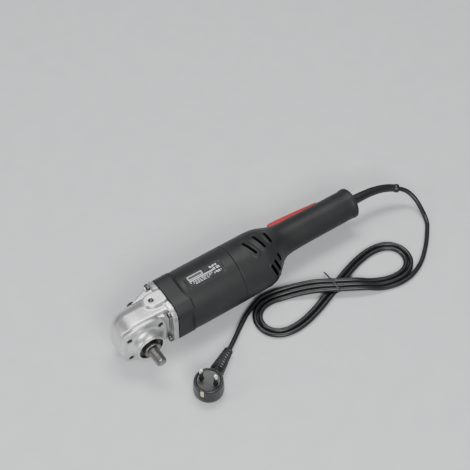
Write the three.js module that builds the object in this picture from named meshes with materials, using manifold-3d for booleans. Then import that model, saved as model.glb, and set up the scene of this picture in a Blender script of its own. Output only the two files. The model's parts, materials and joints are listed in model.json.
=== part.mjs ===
// Rotary polisher lying on its side: gear head, motor, handle with paddle switch, mains lead and plug.
// Millimetres, +Z up. +X runs along the motor to the handle and -Y is the way the spindle points.
import * as THREE from 'three';
import { mergeVertices } from 'three/addons/utils/BufferGeometryUtils.js';
import Module from 'manifold-3d';

const wasm = await Module();
wasm.setup();

// Driving dimensions. x = 0 is the face of the gear case flange, y = z = 0 is the motor axis.
const GAP = 0.3;
const REST_Z = -38.6; // the flat that the tool lies on
const NOSE_X = -78;
const END_X = 297; // rear face of the handle
const SPINDLE_TIP_Y = -64.4;
const HOUSING_R = 39.5;
const WALL = 3;
const SEAM_X = 98; // motor housing meets the rear shells

const SPINDLE_X = -44;
const NOSE_R = SPINDLE_X - NOSE_X;
const FLANGE_HALF = 33;
const FLANGE_T = 7;
const JOINT_Y = -20; // gear case meets bearing cover
const COVER_R = 33.2;
const COVER_BACK = 31.2; // from the spindle axis to the edge of the cover next to the flange
const NOSE_POWER = 3; // superellipse power of the nose of the gear case and of the cover plate
const BEARING_SEAT_R = 16.3;
const COLLAR_R = 19;
const COLLAR_Y = -39.7;
const SHOULDER_Y = -43;
const THREAD_R = 7; // M14
const GEAR_CAVITY_R = 25.8;
const BOSS = { x: -19, y: 0, r: 9.5, face: 36.5, holeR: 3.4, depth: 14.5 }; // M8 side-handle socket

/** Screws of the bearing cover as x, z and of the gear case flange as y, z. */
const COVER_SCREWS = [[22, 18], [22, -18], [-22, 18], [-22, -18]].map(([dx, z]) => [SPINDLE_X + dx, z]);
const CASE_SCREWS = [[25, 26], [25, -26], [-25, 26], [-25, -26]];
const CASE_ARC = 16; // steps round the nose of the gear case
const COVER_STEPS = 32; // steps round the cover plate
const COVER_HEAD_Y = -23; // seat under the heads of the cover screws

const FRONT_HALF = 34; // half-width of the square front of the motor housing
const FRONT_POWER = 5; // superellipse power of that square
const FRONT_INNER_R = 31.5;
const STATOR_R = 36;
const BORE_R = STATOR_R + GAP;

const COIL = { inner: 25.6, outer: 33.4, angle: 62, core: 30, x0: 26.4, x1: 86 };
const STACK = { x0: 32, x1: 80 }; // laminated core of the stator
const BRUSH = { x0: 98.6, x1: 106.6, half: 3, from: 13.4, to: 24, holder: 27.5 };
const SHAFT_R = 5;
const SHAFT_END = 123.6;
const FAN = { blades: 10, r: 28.6 };
const LABEL_TURN = 8; // degrees about X
const LABEL = { x0: 32, x1: 80, half: 8.4, low: 38.6, high: 39 };

const HANDLE_Y = 9.5;
const HANDLE_R = 20.5;
const END_WALL_X = 289.5;
const EXIT_R = 7.3; // hole for the cord guard
/** Stations of the rear body: x, centre y, radius. */
const REAR = [
  [SEAM_X + GAP, 0, HOUSING_R], [138, 0.5, 39], [148, 1.4, 37.6], [156, 3, 34.6], [164, 5.4, 30],
  [172, 7.8, 25.4],
  [181, 9, 22.4], [196, HANDLE_Y, HANDLE_R + 0.6], [240, HANDLE_Y, HANDLE_R], [284, HANDLE_Y, HANDLE_R],
  [292, HANDLE_Y, HANDLE_R + 0.8], [END_X - 1.4, HANDLE_Y, HANDLE_R + 0.8], [END_X, HANDLE_Y, HANDLE_R - 0.8],
];
const SHELL_SCREWS = [[132, 27], [132, -27], [172, 9], [264, HANDLE_Y]];
const SHELL_HEAD_Z = -11; // seat under the heads of the shell screws
/** Cooling slots: x, y, slant in degrees, length, and the angle about the axis that they face. */
const SLOTS = [
  [125, -3, 20, 24, 0], [141, -1, 13, 23, 0], [155.5, 1, 3, 17, 0],
  [143.5, -1, 18, 23, 68], [150, -1, 18, 21, 62], [157, -1, 12, 12, 48],
];
const SLOT_HALF = 2;

const GEAR_TEETH = 24;
const PINION_TEETH = 8;
const TOOTH = { inner: 17.3, outer: 24.6, addendum: 0.6, dedendum: 1.0 };

const PADDLE_PIN = { x: 254, y: 27.5, r: 1.5 };
const PADDLE_HALF = 8;
const DIAL = { x: 160, y: 29.5, r: 9, half: 2.5 };
const LOCK = { x: -36, z: 12, stemR: 2.5, capR: 6 };

const CORD_R = 3.25;
const FLOOR_CORD_Z = REST_Z + CORD_R;
const HANK = { x: 212, y: -73, turn: -4, length: 114, width: 56, pitch: 7, from: 325, to: -505 };
const HANK_HEIGHT = { lobe: 7.1, waist: 14.6, waistHalf: 58 };
const TIE = { half: 1.8, thick: 0.9, side: 19 };
const PLUG = { x: -7, y: -109, r: 19.5, height: 26, turn: 32 };

// Loose run of the lead from the guard to the hank, and from the hank to the plug relief: x, y, z.
const GUARD_LINE = [
  [284.5, 9.5, 0], [297, 9.5, 0], [313, 9.6, 0], [330, 9, -0.8], [346, 6.8, -2.4], [360, 2.6, -4.8],
  [370.5, -2.6, -7.5],
];
const GUARD_RADII = [7, 7, 6.8, 6.4, 6.1, 5.9, 5.8, 6];
const LEAD_LINE = [
  [371.2, -3.05, -7.85], [379, -8.2, -11.8], [384.5, -15.5, -17], [387.3, -25, -23], [387.5, -35.5, -29],
  [386, -46, -33.5], [382, -56, FLOOR_CORD_Z], [374, -66, FLOOR_CORD_Z], [362, -79, FLOOR_CORD_Z],
  [349, -91, FLOOR_CORD_Z], [336, -101, FLOOR_CORD_Z],
];
const LEAD_STUB = [LEAD_LINE.at(-1), [321, -109, FLOOR_CORD_Z], [304, -113.4, FLOOR_CORD_Z]];
const TAIL_LINE = [
  [106, -37.6, FLOOR_CORD_Z], [96, -42.2, FLOOR_CORD_Z], [86, -48, FLOOR_CORD_Z],
  [75, -55.4, FLOOR_CORD_Z + 0.6], [64.5, -63, FLOOR_CORD_Z + 1.6], [54, -70.5, FLOOR_CORD_Z + 2.8],
  [44.6, -76.8, FLOOR_CORD_Z + 3.6],
];
const TAIL_STUB = [[131, -31.6, FLOOR_CORD_Z], [119, -32.6, FLOOR_CORD_Z], TAIL_LINE[0]];

const DEG = Math.PI / 180;
const MERGE = 1e-4;
const ROUND = 28;
const SMALL = 8;

// ---------------------------------------------------------------- solids

/** Images of the X, Y and Z axes for a shape that is drawn flat and extruded along the named axis. */
const PRISM_AXES = {
  x: [[0, 1, 0], [0, 0, 1], [1, 0, 0]],
  y: [[1, 0, 0], [0, 0, 1], [0, 1, 0]],
  z: [[1, 0, 0], [0, 1, 0], [0, 0, 1]],
};

/** The same for a profile turned about its own Y axis. */
const LATHE_AXES = {
  x: [[0, 1, 0], [1, 0, 0], [0, 0, 1]],
  y: [[1, 0, 0], [0, 1, 0], [0, 0, 1]],
  z: [[1, 0, 0], [0, 0, 1], [0, 1, 0]],
};

function basis(axes) {
  return new THREE.Matrix4().makeBasis(...axes.map((axis) => new THREE.Vector3(...axis)));
}

/** Closed solid of a three.js geometry: shared corners merged, empty faces dropped, faces pointing out. */
function solid(geometry) {
  const bare = geometry.clone();
  Object.keys(bare.attributes).filter((name) => name !== 'position').forEach((name) => bare.deleteAttribute(name));
  const merged = mergeVertices(bare, MERGE);
  const corner = (i) => new THREE.Vector3().fromBufferAttribute(merged.attributes.position, i);
  const faces = [];
  let volume = 0;
  for (let i = 0; i < merged.index.count; i += 3) {
    const [a, b, c] = [0, 1, 2].map((k) => merged.index.getX(i + k));
    if (a !== b && b !== c && c !== a) {
      faces.push(a, b, c);
      volume += corner(a).dot(corner(b).cross(corner(c)));
    }
  }
  if (volume < 0) {
    faces.reverse();
  }
  const vertProperties = new Float32Array(merged.attributes.position.array);
  return new wasm.Manifold(new wasm.Mesh({ numProp: 3, vertProperties, triVerts: new Uint32Array(faces) }));
}

function geometryOf(body) {
  const mesh = body.getMesh();
  const geometry = new THREE.BufferGeometry();
  geometry.setAttribute('position', new THREE.BufferAttribute(new Float32Array(mesh.vertProperties), 3));
  geometry.setIndex(new THREE.BufferAttribute(new Uint32Array(mesh.triVerts), 1));
  geometry.computeVertexNormals();
  return geometry;
}

function joined(first, ...others) {
  return others.reduce((sum, next) => sum.add(next), first);
}

function cut(first, ...others) {
  return others.reduce((rest, next) => rest.subtract(next), first);
}

function block(x0, x1, y0, y1, z0, z1) {
  const box = new THREE.BoxGeometry(x1 - x0, y1 - y0, z1 - z0);
  return solid(box.translate((x0 + x1) / 2, (y0 + y1) / 2, (z0 + z1) / 2));
}

/** Profile of [radius, along] pairs turned about an axis that passes through centre. */
function turned(profile, axis, steps = ROUND, centre = [0, 0, 0]) {
  const points = profile.map(([radius, along]) => new THREE.Vector2(radius, along));
  const lathe = new THREE.LatheGeometry(points, steps);
  return solid(lathe.applyMatrix4(basis(LATHE_AXES[axis])).translate(...centre));
}

function rod(radius, from, to, axis, steps = ROUND, centre = [0, 0, 0]) {
  return turned([[0, from], [radius, from], [radius, to], [0, to]], axis, steps, centre);
}

function tube(inner, outer, from, to, axis, steps = ROUND, centre = [0, 0, 0]) {
  const profile = [[inner, from], [outer, from], [outer, to], [inner, to], [inner, from]];
  return turned(profile, axis, steps, centre);
}

/** Flat outline extruded along an axis; its points are [y, z], [x, z] or [x, y] for x, y or z. */
function prism(points, from, to, axis) {
  const shape = new THREE.Shape(points.map(([a, b]) => new THREE.Vector2(a, b)));
  const body = new THREE.ExtrudeGeometry(shape, { depth: to - from, bevelEnabled: false });
  return solid(body.translate(0, 0, from).applyMatrix4(basis(PRISM_AXES[axis])));
}

/** Solid through a row of rings that have the same number of points, with a flat cap at each end. */
function loft(rings) {
  const count = rings[0].length;
  const middle = (ring) => ring.reduce((sum, p) => sum.add(p), new THREE.Vector3()).divideScalar(count);
  const points = [...rings.flat(), middle(rings[0]), middle(rings.at(-1))];
  const last = (rings.length - 1) * count;
  const [headCentre, tailCentre] = [points.length - 2, points.length - 1];
  const index = [];
  for (let j = 0; j < count; j += 1) {
    const k = (j + 1) % count;
    for (let i = 0; i < last; i += count) {
      index.push(i + j, i + count + j, i + k, i + k, i + count + j, i + count + k);
    }
    index.push(headCentre, j, k, tailCentre, last + k, last + j);
  }
  const geometry = new THREE.BufferGeometry().setFromPoints(points);
  return solid(geometry.setIndex(index));
}

/** Ring across X: a superellipse with half-size h, round at power 2 and squarer above it. */
function section(x, cy, h, power = 2, count = ROUND) {
  return Array.from({ length: count }, (_, i) => {
    const [c, s] = [Math.cos((i * 2 * Math.PI) / count), Math.sin((i * 2 * Math.PI) / count)];
    const radius = superRadius(h, c, s, power);
    return new THREE.Vector3(x, cy + radius * c, radius * s);
  });
}

/** Round tube through a list of points, with its radius given at each point. */
function hose(points, radii, sides = SMALL) {
  const curve = new THREE.CatmullRomCurve3(points.map((p) => new THREE.Vector3(...p)), false, 'centripetal');
  const rings = radii.map((radius, i) => {
    const t = i / (radii.length - 1);
    const along = curve.getTangent(t);
    const side = new THREE.Vector3(0, 0, 1).cross(along).normalize();
    const up = along.clone().cross(side);
    return Array.from({ length: sides }, (_, k) => {
      const angle = (k * 2 * Math.PI) / sides;
      const out = side.clone().multiplyScalar(Math.cos(angle)).addScaledVector(up, Math.sin(angle));
      return curve.getPoint(t).addScaledVector(out, radius);
    });
  });
  return loft(rings);
}

/** Plain cord: a round section carried along a smooth line through the points. */
function cordTube(points) {
  const curve = new THREE.CatmullRomCurve3(points.map((p) => new THREE.Vector3(...p)), false, 'centripetal');
  const shape = new THREE.Shape().absarc(0, 0, CORD_R, 0, 2 * Math.PI);
  const steps = Math.round(curve.getLength() / (4 * CORD_R));
  return solid(new THREE.ExtrudeGeometry(shape, { steps, extrudePath: curve, curveSegments: 5 }));
}

// ---------------------------------------------------------------- materials and scene graph

const tool = new THREE.Group();

function finish(color, roughness, metalness = 0) {
  return { color, roughness, metalness };
}

const CAST = finish(0xc4c6c8, 0.42, 0.9);
const STEEL = finish(0x8d8f92, 0.35, 1);
const DARK_STEEL = finish(0x3a3b3d, 0.45, 0.9);
const BLACK_PLASTIC = finish(0x26272a, 0.55);
const RED_PLASTIC = finish(0xb0141c, 0.4);
const RUBBER = finish(0x17181a, 0.7);
const COPPER = finish(0xa8582a, 0.4, 0.9);
const BRASS = finish(0xc9b37a, 0.3, 1);
const LAMINATION = finish(0x6d7076, 0.5, 0.8);
const CARBON = finish(0x1b1b1c, 0.8);
const LABEL_FILM = finish(0x4a4d55, 0.5);

function add(name, body, look, parent = tool) {
  const mesh = new THREE.Mesh(geometryOf(body), new THREE.MeshStandardMaterial(look));
  mesh.name = name;
  parent.add(mesh);
  return mesh;
}

// ---------------------------------------------------------------- gear head

/** Radius of a superellipse of half-size h in the direction whose cosine and sine are c and s. */
function superRadius(h, c, s, power) {
  return h / (Math.abs(c) ** power + Math.abs(s) ** power) ** (1 / power);
}

/** Point of a plan about the spindle axis at height y; reach is its half-size towards the angle. */
function planPoint(y, reach, angle) {
  const [c, s] = [Math.cos(angle), Math.sin(angle)];
  const radius = superRadius(reach, c, s, NOSE_POWER);
  return new THREE.Vector3(SPINDLE_X + radius * c, y, radius * s);
}

/** Plan of the gear case at height y: a blunt nose about the spindle and straight flanks to the flange. */
function casePlan(y, noseR, backHalf) {
  const arc = Array.from({ length: CASE_ARC + 1 }, (_, i) => {
    return planPoint(y, noseR, (90 + (180 * i) / CASE_ARC) * DEG);
  });
  const backX = -FLANGE_T / 2;
  return [new THREE.Vector3(backX, y, backHalf), ...arc, new THREE.Vector3(backX, y, -backHalf)];
}

function gearCase() {
  const body = loft([
    casePlan(JOINT_Y, COVER_R, 30.5),
    casePlan(-16, NOSE_R, 31.5),
    casePlan(0, NOSE_R - 0.4, 31.5),
    casePlan(7, 31.2, 30),
    casePlan(13, 26.5, 27.5),
    casePlan(17, 21, 25),
    casePlan(20, 15, 21),
  ]);
  const backSlope = prism([[-90, 4.2], [-62, 11], [-29, 19], [-9, 21], [-9, 60], [-90, 60]], -60, 60, 'z');
  const flange = loft([
    section(-FLANGE_T, 0, FLANGE_HALF, 6, 32),
    section(0, 0, FLANGE_HALF, 6, 32),
  ]);
  const bosses = [1, -1].map((side) => {
    const profile = [[0, 20 * side], [13, 20 * side], [11.5, 32 * side], [BOSS.r, 34 * side],
      [BOSS.r, BOSS.face * side], [0, BOSS.face * side]];
    return turned(profile, 'z', 20, [BOSS.x, BOSS.y, 0]);
  });
  const sockets = [1, -1].map((side) => {
    const ends = [(BOSS.face - BOSS.depth) * side, (BOSS.face + 1) * side].sort((a, b) => a - b);
    return rod(BOSS.holeR, ...ends, 'z', 12, [BOSS.x, BOSS.y, 0]);
  });
  const hollows = [
    rod(GEAR_CAVITY_R, JOINT_Y - 1, -2.5, 'y', 28, [SPINDLE_X, 0, 0]),
    rod(9.8, SPINDLE_X, -9.4, 'x', 16),
    rod(15.4, -9.4, 1, 'x', 24),
    rod(7.4, -3, 9, 'y', 16, [SPINDLE_X, 0, 0]),
    rod(LOCK.stemR + GAP, -3, 13, 'y', SMALL, [LOCK.x, 0, LOCK.z]),
    rod(LOCK.capR + 0.4, 12, 30, 'y', 16, [LOCK.x, 0, LOCK.z]),
  ];
  const coverHoles = COVER_SCREWS.map(([x, z]) => rod(2.3, JOINT_Y - 1, -8.6, 'y', SMALL, [x, 0, z]));
  const caseHoles = CASE_SCREWS.map(([y, z]) => rod(2.3, -10, 1, 'x', SMALL, [0, y, z]));
  return cut(joined(cut(body, backSlope), flange, ...bosses), ...sockets, ...hollows, ...coverHoles, ...caseHoles);
}

/** Bearing cover: plate with the plan of the case, flared skirt, and a collar whose mouth shows the shoulder. */
function bearingCover() {
  const plate = loft([[JOINT_Y - GAP, 0], [-25, 0], [-26, 1]].map(([y, inset]) => {
    return Array.from({ length: COVER_STEPS }, (_, i) => {
      const point = planPoint(y, COVER_R - inset, (i * 2 * Math.PI) / COVER_STEPS);
      const back = Math.max(point.x - SPINDLE_X, 0) / COVER_R;
      return point.setX(point.x - back * (COVER_R - COVER_BACK));
    });
  }));
  const skirt = turned([
    [0, -24], [26, -24], [25, -26.6], [22, -28.5], [20.2, -31.5], [COLLAR_R, -35], [COLLAR_R, COLLAR_Y + 0.8],
    [COLLAR_R - 0.8, COLLAR_Y], [0, COLLAR_Y],
  ], 'y', 24, [SPINDLE_X, 0, 0]);
  const bore = turned([
    [0, JOINT_Y + 1], [BEARING_SEAT_R, JOINT_Y + 1], [BEARING_SEAT_R, -34.3], [11.5, -34.3], [11.5, -35.9],
    [BEARING_SEAT_R, -35.9], [BEARING_SEAT_R + 0.4, COLLAR_Y - 1], [0, COLLAR_Y - 1],
  ], 'y', 24, [SPINDLE_X, 0, 0]);
  const seats = COVER_SCREWS.map(([x, z]) => turned(
    [[0, -30], [3.9, -30], [3.9, COVER_HEAD_Y], [2.3, COVER_HEAD_Y], [2.3, JOINT_Y + 1], [0, JOINT_Y + 1]],
    'y', SMALL, [x, 0, z],
  ));
  return cut(joined(plate, skirt), bore, ...seats);
}

/** Socket-head screw along +Y: the underside of its head is at y = 0 and its head points to -Y. */
function screw(headR, headHeight, shankR, length) {
  return turned([
    [0, -headHeight / 3], [headR * 0.48, -headHeight / 3], [headR * 0.48, -headHeight], [headR, -headHeight],
    [headR, 0], [shankR, 0], [shankR, length], [0, length],
  ], 'y', SMALL);
}

add('gear_case', gearCase(), CAST);
add('bearing_cover', bearingCover(), CAST);
COVER_SCREWS.forEach(([x, z], i) => {
  add(`cover_screw_${i + 1}`, screw(3.6, 2.8, 2, 14), DARK_STEEL).position.set(x, COVER_HEAD_Y - GAP, z);
});
CASE_SCREWS.forEach(([y, z], i) => {
  const mesh = add(`case_screw_${i + 1}`, screw(4, 3.4, 2, 24), DARK_STEEL);
  mesh.rotation.z = -90 * DEG;
  mesh.position.set(-FLANGE_T - GAP, y, z);
});
add('spindle_ball_bearing', tube(6.4, 15.9, -34, -24, 'y', 20, [SPINDLE_X, 0, 0]), STEEL);
add('spindle_bush', tube(5.35, 7, -2, 8.7, 'y', 20, [SPINDLE_X, 0, 0]), BRASS);
add('spindle_seal', tube(6.3, 11.1, -35.6, -34.3 - GAP, 'y', 20, [SPINDLE_X, 0, 0]), RUBBER);

// ---------------------------------------------------------------- bevel gears, spindle and lock

/** Ring of straight bevel teeth: the closed profile at each angle comes from profileAt(isTooth). */
function toothedRing(teeth, share, profileAt, phase) {
  const positions = [];
  const index = [];
  const count = profileAt(true).length;
  const steps = teeth * 4;
  for (let i = 0; i < steps; i += 1) {
    const tooth = Math.floor(i / 4);
    const place = [-share.root, -share.tip, share.tip, share.root][i % 4] / 2;
    const angle = (phase + tooth + place) * ((2 * Math.PI) / teeth);
    const isTip = i % 4 === 1 || i % 4 === 2;
    profileAt(isTip).forEach(([radius, along], j) => {
      positions.push(radius * Math.cos(angle), along, radius * Math.sin(angle));
      const next = ((i + 1) % steps) * count;
      const k = (j + 1) % count;
      index.push(i * count + j, next + j, i * count + k, i * count + k, next + j, next + k);
    });
  }
  const geometry = new THREE.BufferGeometry();
  geometry.setAttribute('position', new THREE.Float32BufferAttribute(positions, 3));
  return solid(geometry.setIndex(index));
}

const SHARE = { root: 0.42, tip: 0.2 };
const SLOPE = PINION_TEETH / GEAR_TEETH; // drop of the pitch cone per mm of gear radius

/** Crown gear on the spindle; its teeth face +Y and a gap faces +X. */
function crownGear() {
  const rim = toothedRing(GEAR_TEETH, SHARE, (isTip) => {
    const rise = isTip ? TOOTH.addendum : -TOOTH.dedendum;
    return [
      [TOOTH.inner, -TOOTH.inner * SLOPE + rise], [TOOTH.outer, -TOOTH.outer * SLOPE + rise],
      [TOOTH.outer, -15], [TOOTH.inner, -15],
    ];
  }, 0.5);
  const hub = turned([[6.3, -3], [9.5, -3], [9.5, -8], [TOOTH.inner + 1, -8], [TOOTH.inner + 1, -15.5],
    [12, -18], [6.3, -18], [6.3, -3]], 'y', 20);
  return joined(rim, hub);
}

/** Bevel pinion about its own Y axis, which is turned onto the motor axis; a tooth faces the crown gear. */
function bevelPinion() {
  return toothedRing(PINION_TEETH, SHARE, (isTip) => {
    const rise = isTip ? TOOTH.addendum : -TOOTH.dedendum;
    return [
      [3.3, TOOTH.inner], [TOOTH.inner * SLOPE + rise, TOOTH.inner], [TOOTH.outer * SLOPE + rise, TOOTH.outer],
      [7, TOOTH.outer + 3], [3.3, TOOTH.outer + 3],
    ];
  }, 0);
}

function spindle() {
  const shaft = turned([
    [0, 8.2], [4.4, 8.2], [5, 7.4], [5, -2.6], [6, -3.6], [6, -36.2], [11, -36.2], [11, SHOULDER_Y],
    [THREAD_R, SHOULDER_Y], [THREAD_R, SPINDLE_TIP_Y + 1.4], [THREAD_R - 1.4, SPINDLE_TIP_Y], [0, SPINDLE_TIP_Y],
  ], 'y', 24);
  const flats = [1, -1].map((side) => {
    const z = [8.5 * side, 12 * side].sort((a, b) => a - b);
    return block(-12, 12, SHOULDER_Y + 0.9, -37.4, ...z);
  });
  return cut(shaft, ...flats);
}

const spindleLine = new THREE.Group();
spindleLine.position.x = SPINDLE_X;
tool.add(spindleLine);
add('spindle', spindle(), STEEL, spindleLine);
add('crown_gear', crownGear(), STEEL, spindleLine);

const pinion = add('bevel_pinion', bevelPinion(), STEEL);
pinion.position.x = SPINDLE_X;
pinion.rotation.z = -90 * DEG;

const lock = new THREE.Group();
lock.position.set(LOCK.x, 0, LOCK.z);
tool.add(lock);
add('spindle_lock_button', turned([
  [0, -3.6], [LOCK.stemR, -3.6], [LOCK.stemR, 19], [LOCK.capR, 19], [LOCK.capR, 22.6], [LOCK.capR - 1, 23.6],
  [0, 23.6],
], 'y', 14), BLACK_PLASTIC, lock);
add('lock_spring', tube(3, 4.4, 12.3, 18.7, 'y', 12), STEEL, lock);

// ---------------------------------------------------------------- motor

/** Outside of the motor housing: square front over the fixing screws, then round to the seam. */
function motorHousing() {
  const skin = loft([
    section(GAP, 0, FRONT_HALF, FRONT_POWER),
    section(19, 0, FRONT_HALF, FRONT_POWER),
    section(22, 0, 36.6, 3.4),
    section(26, 0, HOUSING_R, 2),
    section(SEAM_X, 0, HOUSING_R, 2),
  ]);
  const holes = CASE_SCREWS.map(([y, z]) => rod(2.3, -1, 17.5, 'x', SMALL, [0, y, z]));
  const { x0, x1, half, low } = LABEL;
  const recess = block(x0 - 0.5, x1 + 0.5, -half - 0.4, half + 0.4, low - GAP, 45).rotate([LABEL_TURN, 0, 0]);
  const rest = block(-5, 200, -50, 50, -60, REST_Z);
  return cut(skin, rod(FRONT_INNER_R, -1, 26, 'x'), rod(BORE_R, 25.7, SEAM_X + 1, 'x'), ...holes, recess, rest);
}

/** Wedge of a ring about X between two angles from +Z. */
function sector(inner, outer, from, to, x0, x1, steps) {
  const arc = (radius, order) => Array.from({ length: steps + 1 }, (_, i) => {
    const angle = (from + ((to - from) * (order > 0 ? i : steps - i)) / steps) * DEG;
    return [radius * Math.sin(angle), radius * Math.cos(angle)];
  });
  return prism([...arc(outer, 1), ...arc(inner, -1)], x0, x1, 'x');
}

function fieldCoil(turn) {
  const outer = sector(COIL.inner, COIL.outer, turn - COIL.angle, turn + COIL.angle, COIL.x0, COIL.x1, 14);
  const pole = sector(20, 40, turn - COIL.core, turn + COIL.core, STACK.x0 - GAP, STACK.x1 + GAP, 6);
  return cut(outer, pole);
}

function statorCore() {
  const ring = tube(23.3, STATOR_R, STACK.x0, STACK.x1, 'x', 28);
  const slots = [0, 180].flatMap((turn) => [-1, 1].map((side) => {
    const angles = [turn + side * (COIL.core - 1), turn + side * (COIL.angle + 1)].sort((a, b) => a - b);
    return sector(COIL.inner - GAP, COIL.outer + GAP, ...angles, STACK.x0 - 1, STACK.x1 + 1, 5);
  }));
  return cut(ring, ...slots);
}

function fan() {
  const plate = turned([[SHAFT_R + GAP, 5], [9, 5], [9, 15], [FAN.r, 16.6], [FAN.r, 18], [SHAFT_R + GAP, 18],
    [SHAFT_R + GAP, 5]], 'x', 20);
  const blades = Array.from({ length: FAN.blades }, (_, i) => {
    return block(6.5, 17, 8, FAN.r - 0.6, -0.8, 0.8).rotate([(360 * i) / FAN.blades, 0, 0]);
  });
  return joined(plate, ...blades);
}

add('motor_housing', motorHousing(), BLACK_PLASTIC);
add('rating_label', block(LABEL.x0, LABEL.x1, -LABEL.half, LABEL.half, LABEL.low, LABEL.high)
  .rotate([LABEL_TURN, 0, 0]), LABEL_FILM);
add('stator_core', statorCore(), LAMINATION);
add('field_coil_upper', fieldCoil(0), COPPER);
add('field_coil_lower', fieldCoil(180), COPPER);
add('air_baffle', tube(26, 31.2, 21, 24.5, 'x', 24), BLACK_PLASTIC);
add('front_motor_bearing', tube(SHAFT_R + GAP, 15, -9.1, -0.6, 'x', 20), STEEL);
add('rear_motor_bearing', tube(4.3, 11, 115, 122, 'x', 16), STEEL);
add('armature_shaft', turned([[0, -27.4], [3, -27.4], [3, -12.6], [SHAFT_R, -11.4], [SHAFT_R, 113.4], [4, 114],
  [4, SHAFT_END], [0, SHAFT_END]], 'x', 16), STEEL);
add('armature_core', turned([[5.4, 26], [17, 26], [19, 28], [19, 33.5], [22.6, 34], [22.6, 78], [19, 78.5], [19, 86],
  [16, 88], [5.4, 88], [5.4, 26]], 'x', 20), LAMINATION);
add('commutator', tube(5.4, 13, 94, 110, 'x', 20), COPPER);
add('cooling_fan', fan(), BLACK_PLASTIC);

[['near', -1], ['far', 1]].forEach(([name, side]) => {
  const { x0, x1, half, from, to, holder } = BRUSH;
  const span = (a, b) => [a * side, b * side].sort((p, q) => p - q);
  const body = block(x0 - 2.2, x1 + 2.2, ...span(from + 1.6, holder), -half - 2.4, half + 2.4);
  const bore = block(x0 - GAP, x1 + GAP, ...span(from, to + 1), -half - GAP, half + GAP);
  add(`brush_holder_${name}`, cut(body, bore), BRASS);
  add(`carbon_brush_${name}`, block(x0, x1, ...span(from, to), -half, half), CARBON);
});

// ---------------------------------------------------------------- rear shells and handle

function slotCutters() {
  return SLOTS.flatMap(([x, y, slant, length, face]) => [1, -1].map((side) => {
    const bar = block(-SLOT_HALF, SLOT_HALF, -length / 2, length / 2, 24, 60).rotate([0, 0, slant]);
    const placed = bar.translate([x, y, 0]).rotate([face, 0, 0]);
    return side > 0 ? placed : placed.rotate([180 - 2 * face, 0, 0]);
  }));
}

function rearShell(side) {
  const skin = loft(REAR.map(([x, cy, radius]) => section(x, cy, radius)));
  const inside = [[SEAM_X - 1, 0, HOUSING_R - WALL], ...REAR.slice(1, 10), [END_WALL_X, HANDLE_Y, HANDLE_R]];
  const hollow = loft(inside.map(([x, cy, radius], i) => section(x, cy, i ? radius - WALL : radius)));
  const bridge = cut(block(113, 123.5, -38, 38, -13, 13), rod(11.4, 114.6, 130, 'x', 16), rod(6, 110, 120, 'x', 12));
  const pillars = SHELL_SCREWS.map(([x, y]) => rod(5.2, -38, 38, 'z', 10, [x, y, 0]));
  const body = joined(cut(skin, hollow), joined(bridge, ...pillars).intersect(skin));
  const seats = SHELL_SCREWS.map(([x, y]) => turned(
    [[0, -50], [3.6, -50], [3.6, SHELL_HEAD_Z], [1.9, SHELL_HEAD_Z], [1.9, 9], [0, 9]], 'z', SMALL, [x, y, 0],
  ));
  const pocket = block(176.4, 258.6, 18.5, 60, -PADDLE_HALF - GAP, PADDLE_HALF + GAP);
  const pin = rod(PADDLE_PIN.r + GAP, -10.5, 10.5, 'z', SMALL, [PADDLE_PIN.x, PADDLE_PIN.y, 0]);
  const dial = block(DIAL.x - DIAL.r - 1, DIAL.x + DIAL.r + 1, 20, 60, -DIAL.half - GAP, DIAL.half + GAP);
  const exit = rod(EXIT_R, END_WALL_X - 1, END_X + 1, 'x', 16, [0, HANDLE_Y, 0]);
  const half = block(90, 310, -60, 60, ...(side > 0 ? [GAP / 2, 60] : [REST_Z, -GAP / 2]));
  return cut(body, ...seats, ...slotCutters(), pocket, pin, dial, exit).intersect(half);
}

add('rear_shell_upper', rearShell(1), BLACK_PLASTIC);
add('rear_shell_lower', rearShell(-1), BLACK_PLASTIC);
SHELL_SCREWS.forEach(([x, y], i) => {
  const mesh = add(`shell_screw_${i + 1}`, screw(3.3, 2.6, 1.6, 19), DARK_STEEL);
  mesh.rotation.x = 90 * DEG;
  mesh.position.set(x, y, SHELL_HEAD_Z - GAP - 0.1);
});

/** Paddle: thick rounded front end, thin hinged rear end, flat sides. */
function paddle() {
  const outline = [
    [178, 22], [177.4, 32], [178.6, 35], [181.5, 36.4], [200, 35.6], [230, 33.6], [257.4, 30.9], [258, 28.6],
    [256.6, 25.4], [246, 24.4], [200, 20.8], [180, 20.8],
  ];
  const body = prism(outline, -PADDLE_HALF, PADDLE_HALF, 'z');
  return cut(body, rod(PADDLE_PIN.r + GAP, -20, 20, 'z', SMALL, [PADDLE_PIN.x, PADDLE_PIN.y, 0]));
}

add('trigger_paddle', paddle(), RED_PLASTIC);
add('trigger_pin', rod(PADDLE_PIN.r, -10.2, 10.2, 'z', SMALL, [PADDLE_PIN.x, PADDLE_PIN.y, 0]), STEEL);
add('trigger_spring', tube(2.4, 3.6, 15.3, 20.5, 'y', 12, [195, 0, 0]), STEEL);
add('switch_body', block(186, 232, -4, 15, -8.6, 8.6), BLACK_PLASTIC);

const speedModule = joined(
  block(139, 159, -9, 13, -11, 11),
  block(154, 163, 12, 30.8, -6, -3.2),
  rod(2, -4, 3.4, 'z', SMALL, [DIAL.x, DIAL.y, 0]),
);
add('speed_module', speedModule, BLACK_PLASTIC);
add('speed_dial', tube(2.3, DIAL.r, -DIAL.half, DIAL.half, 'z', 20, [DIAL.x, DIAL.y, 0]), BLACK_PLASTIC);
add('cord_clamp', block(272, 281, 4, 15, 4, 8), BLACK_PLASTIC);

// ---------------------------------------------------------------- lead, hank and plug

add('cord_guard', joined(
  hose(GUARD_LINE, GUARD_RADII, 12),
  rod(9.4, 284, 289, 'x', 12, [0, HANDLE_Y, 0]),
  turned([[0, END_X + GAP], [8.6, END_X + GAP], [8, END_X + 5], [0, END_X + 5]], 'x', 12, [0, HANDLE_Y, 0]),
), RUBBER);

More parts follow.
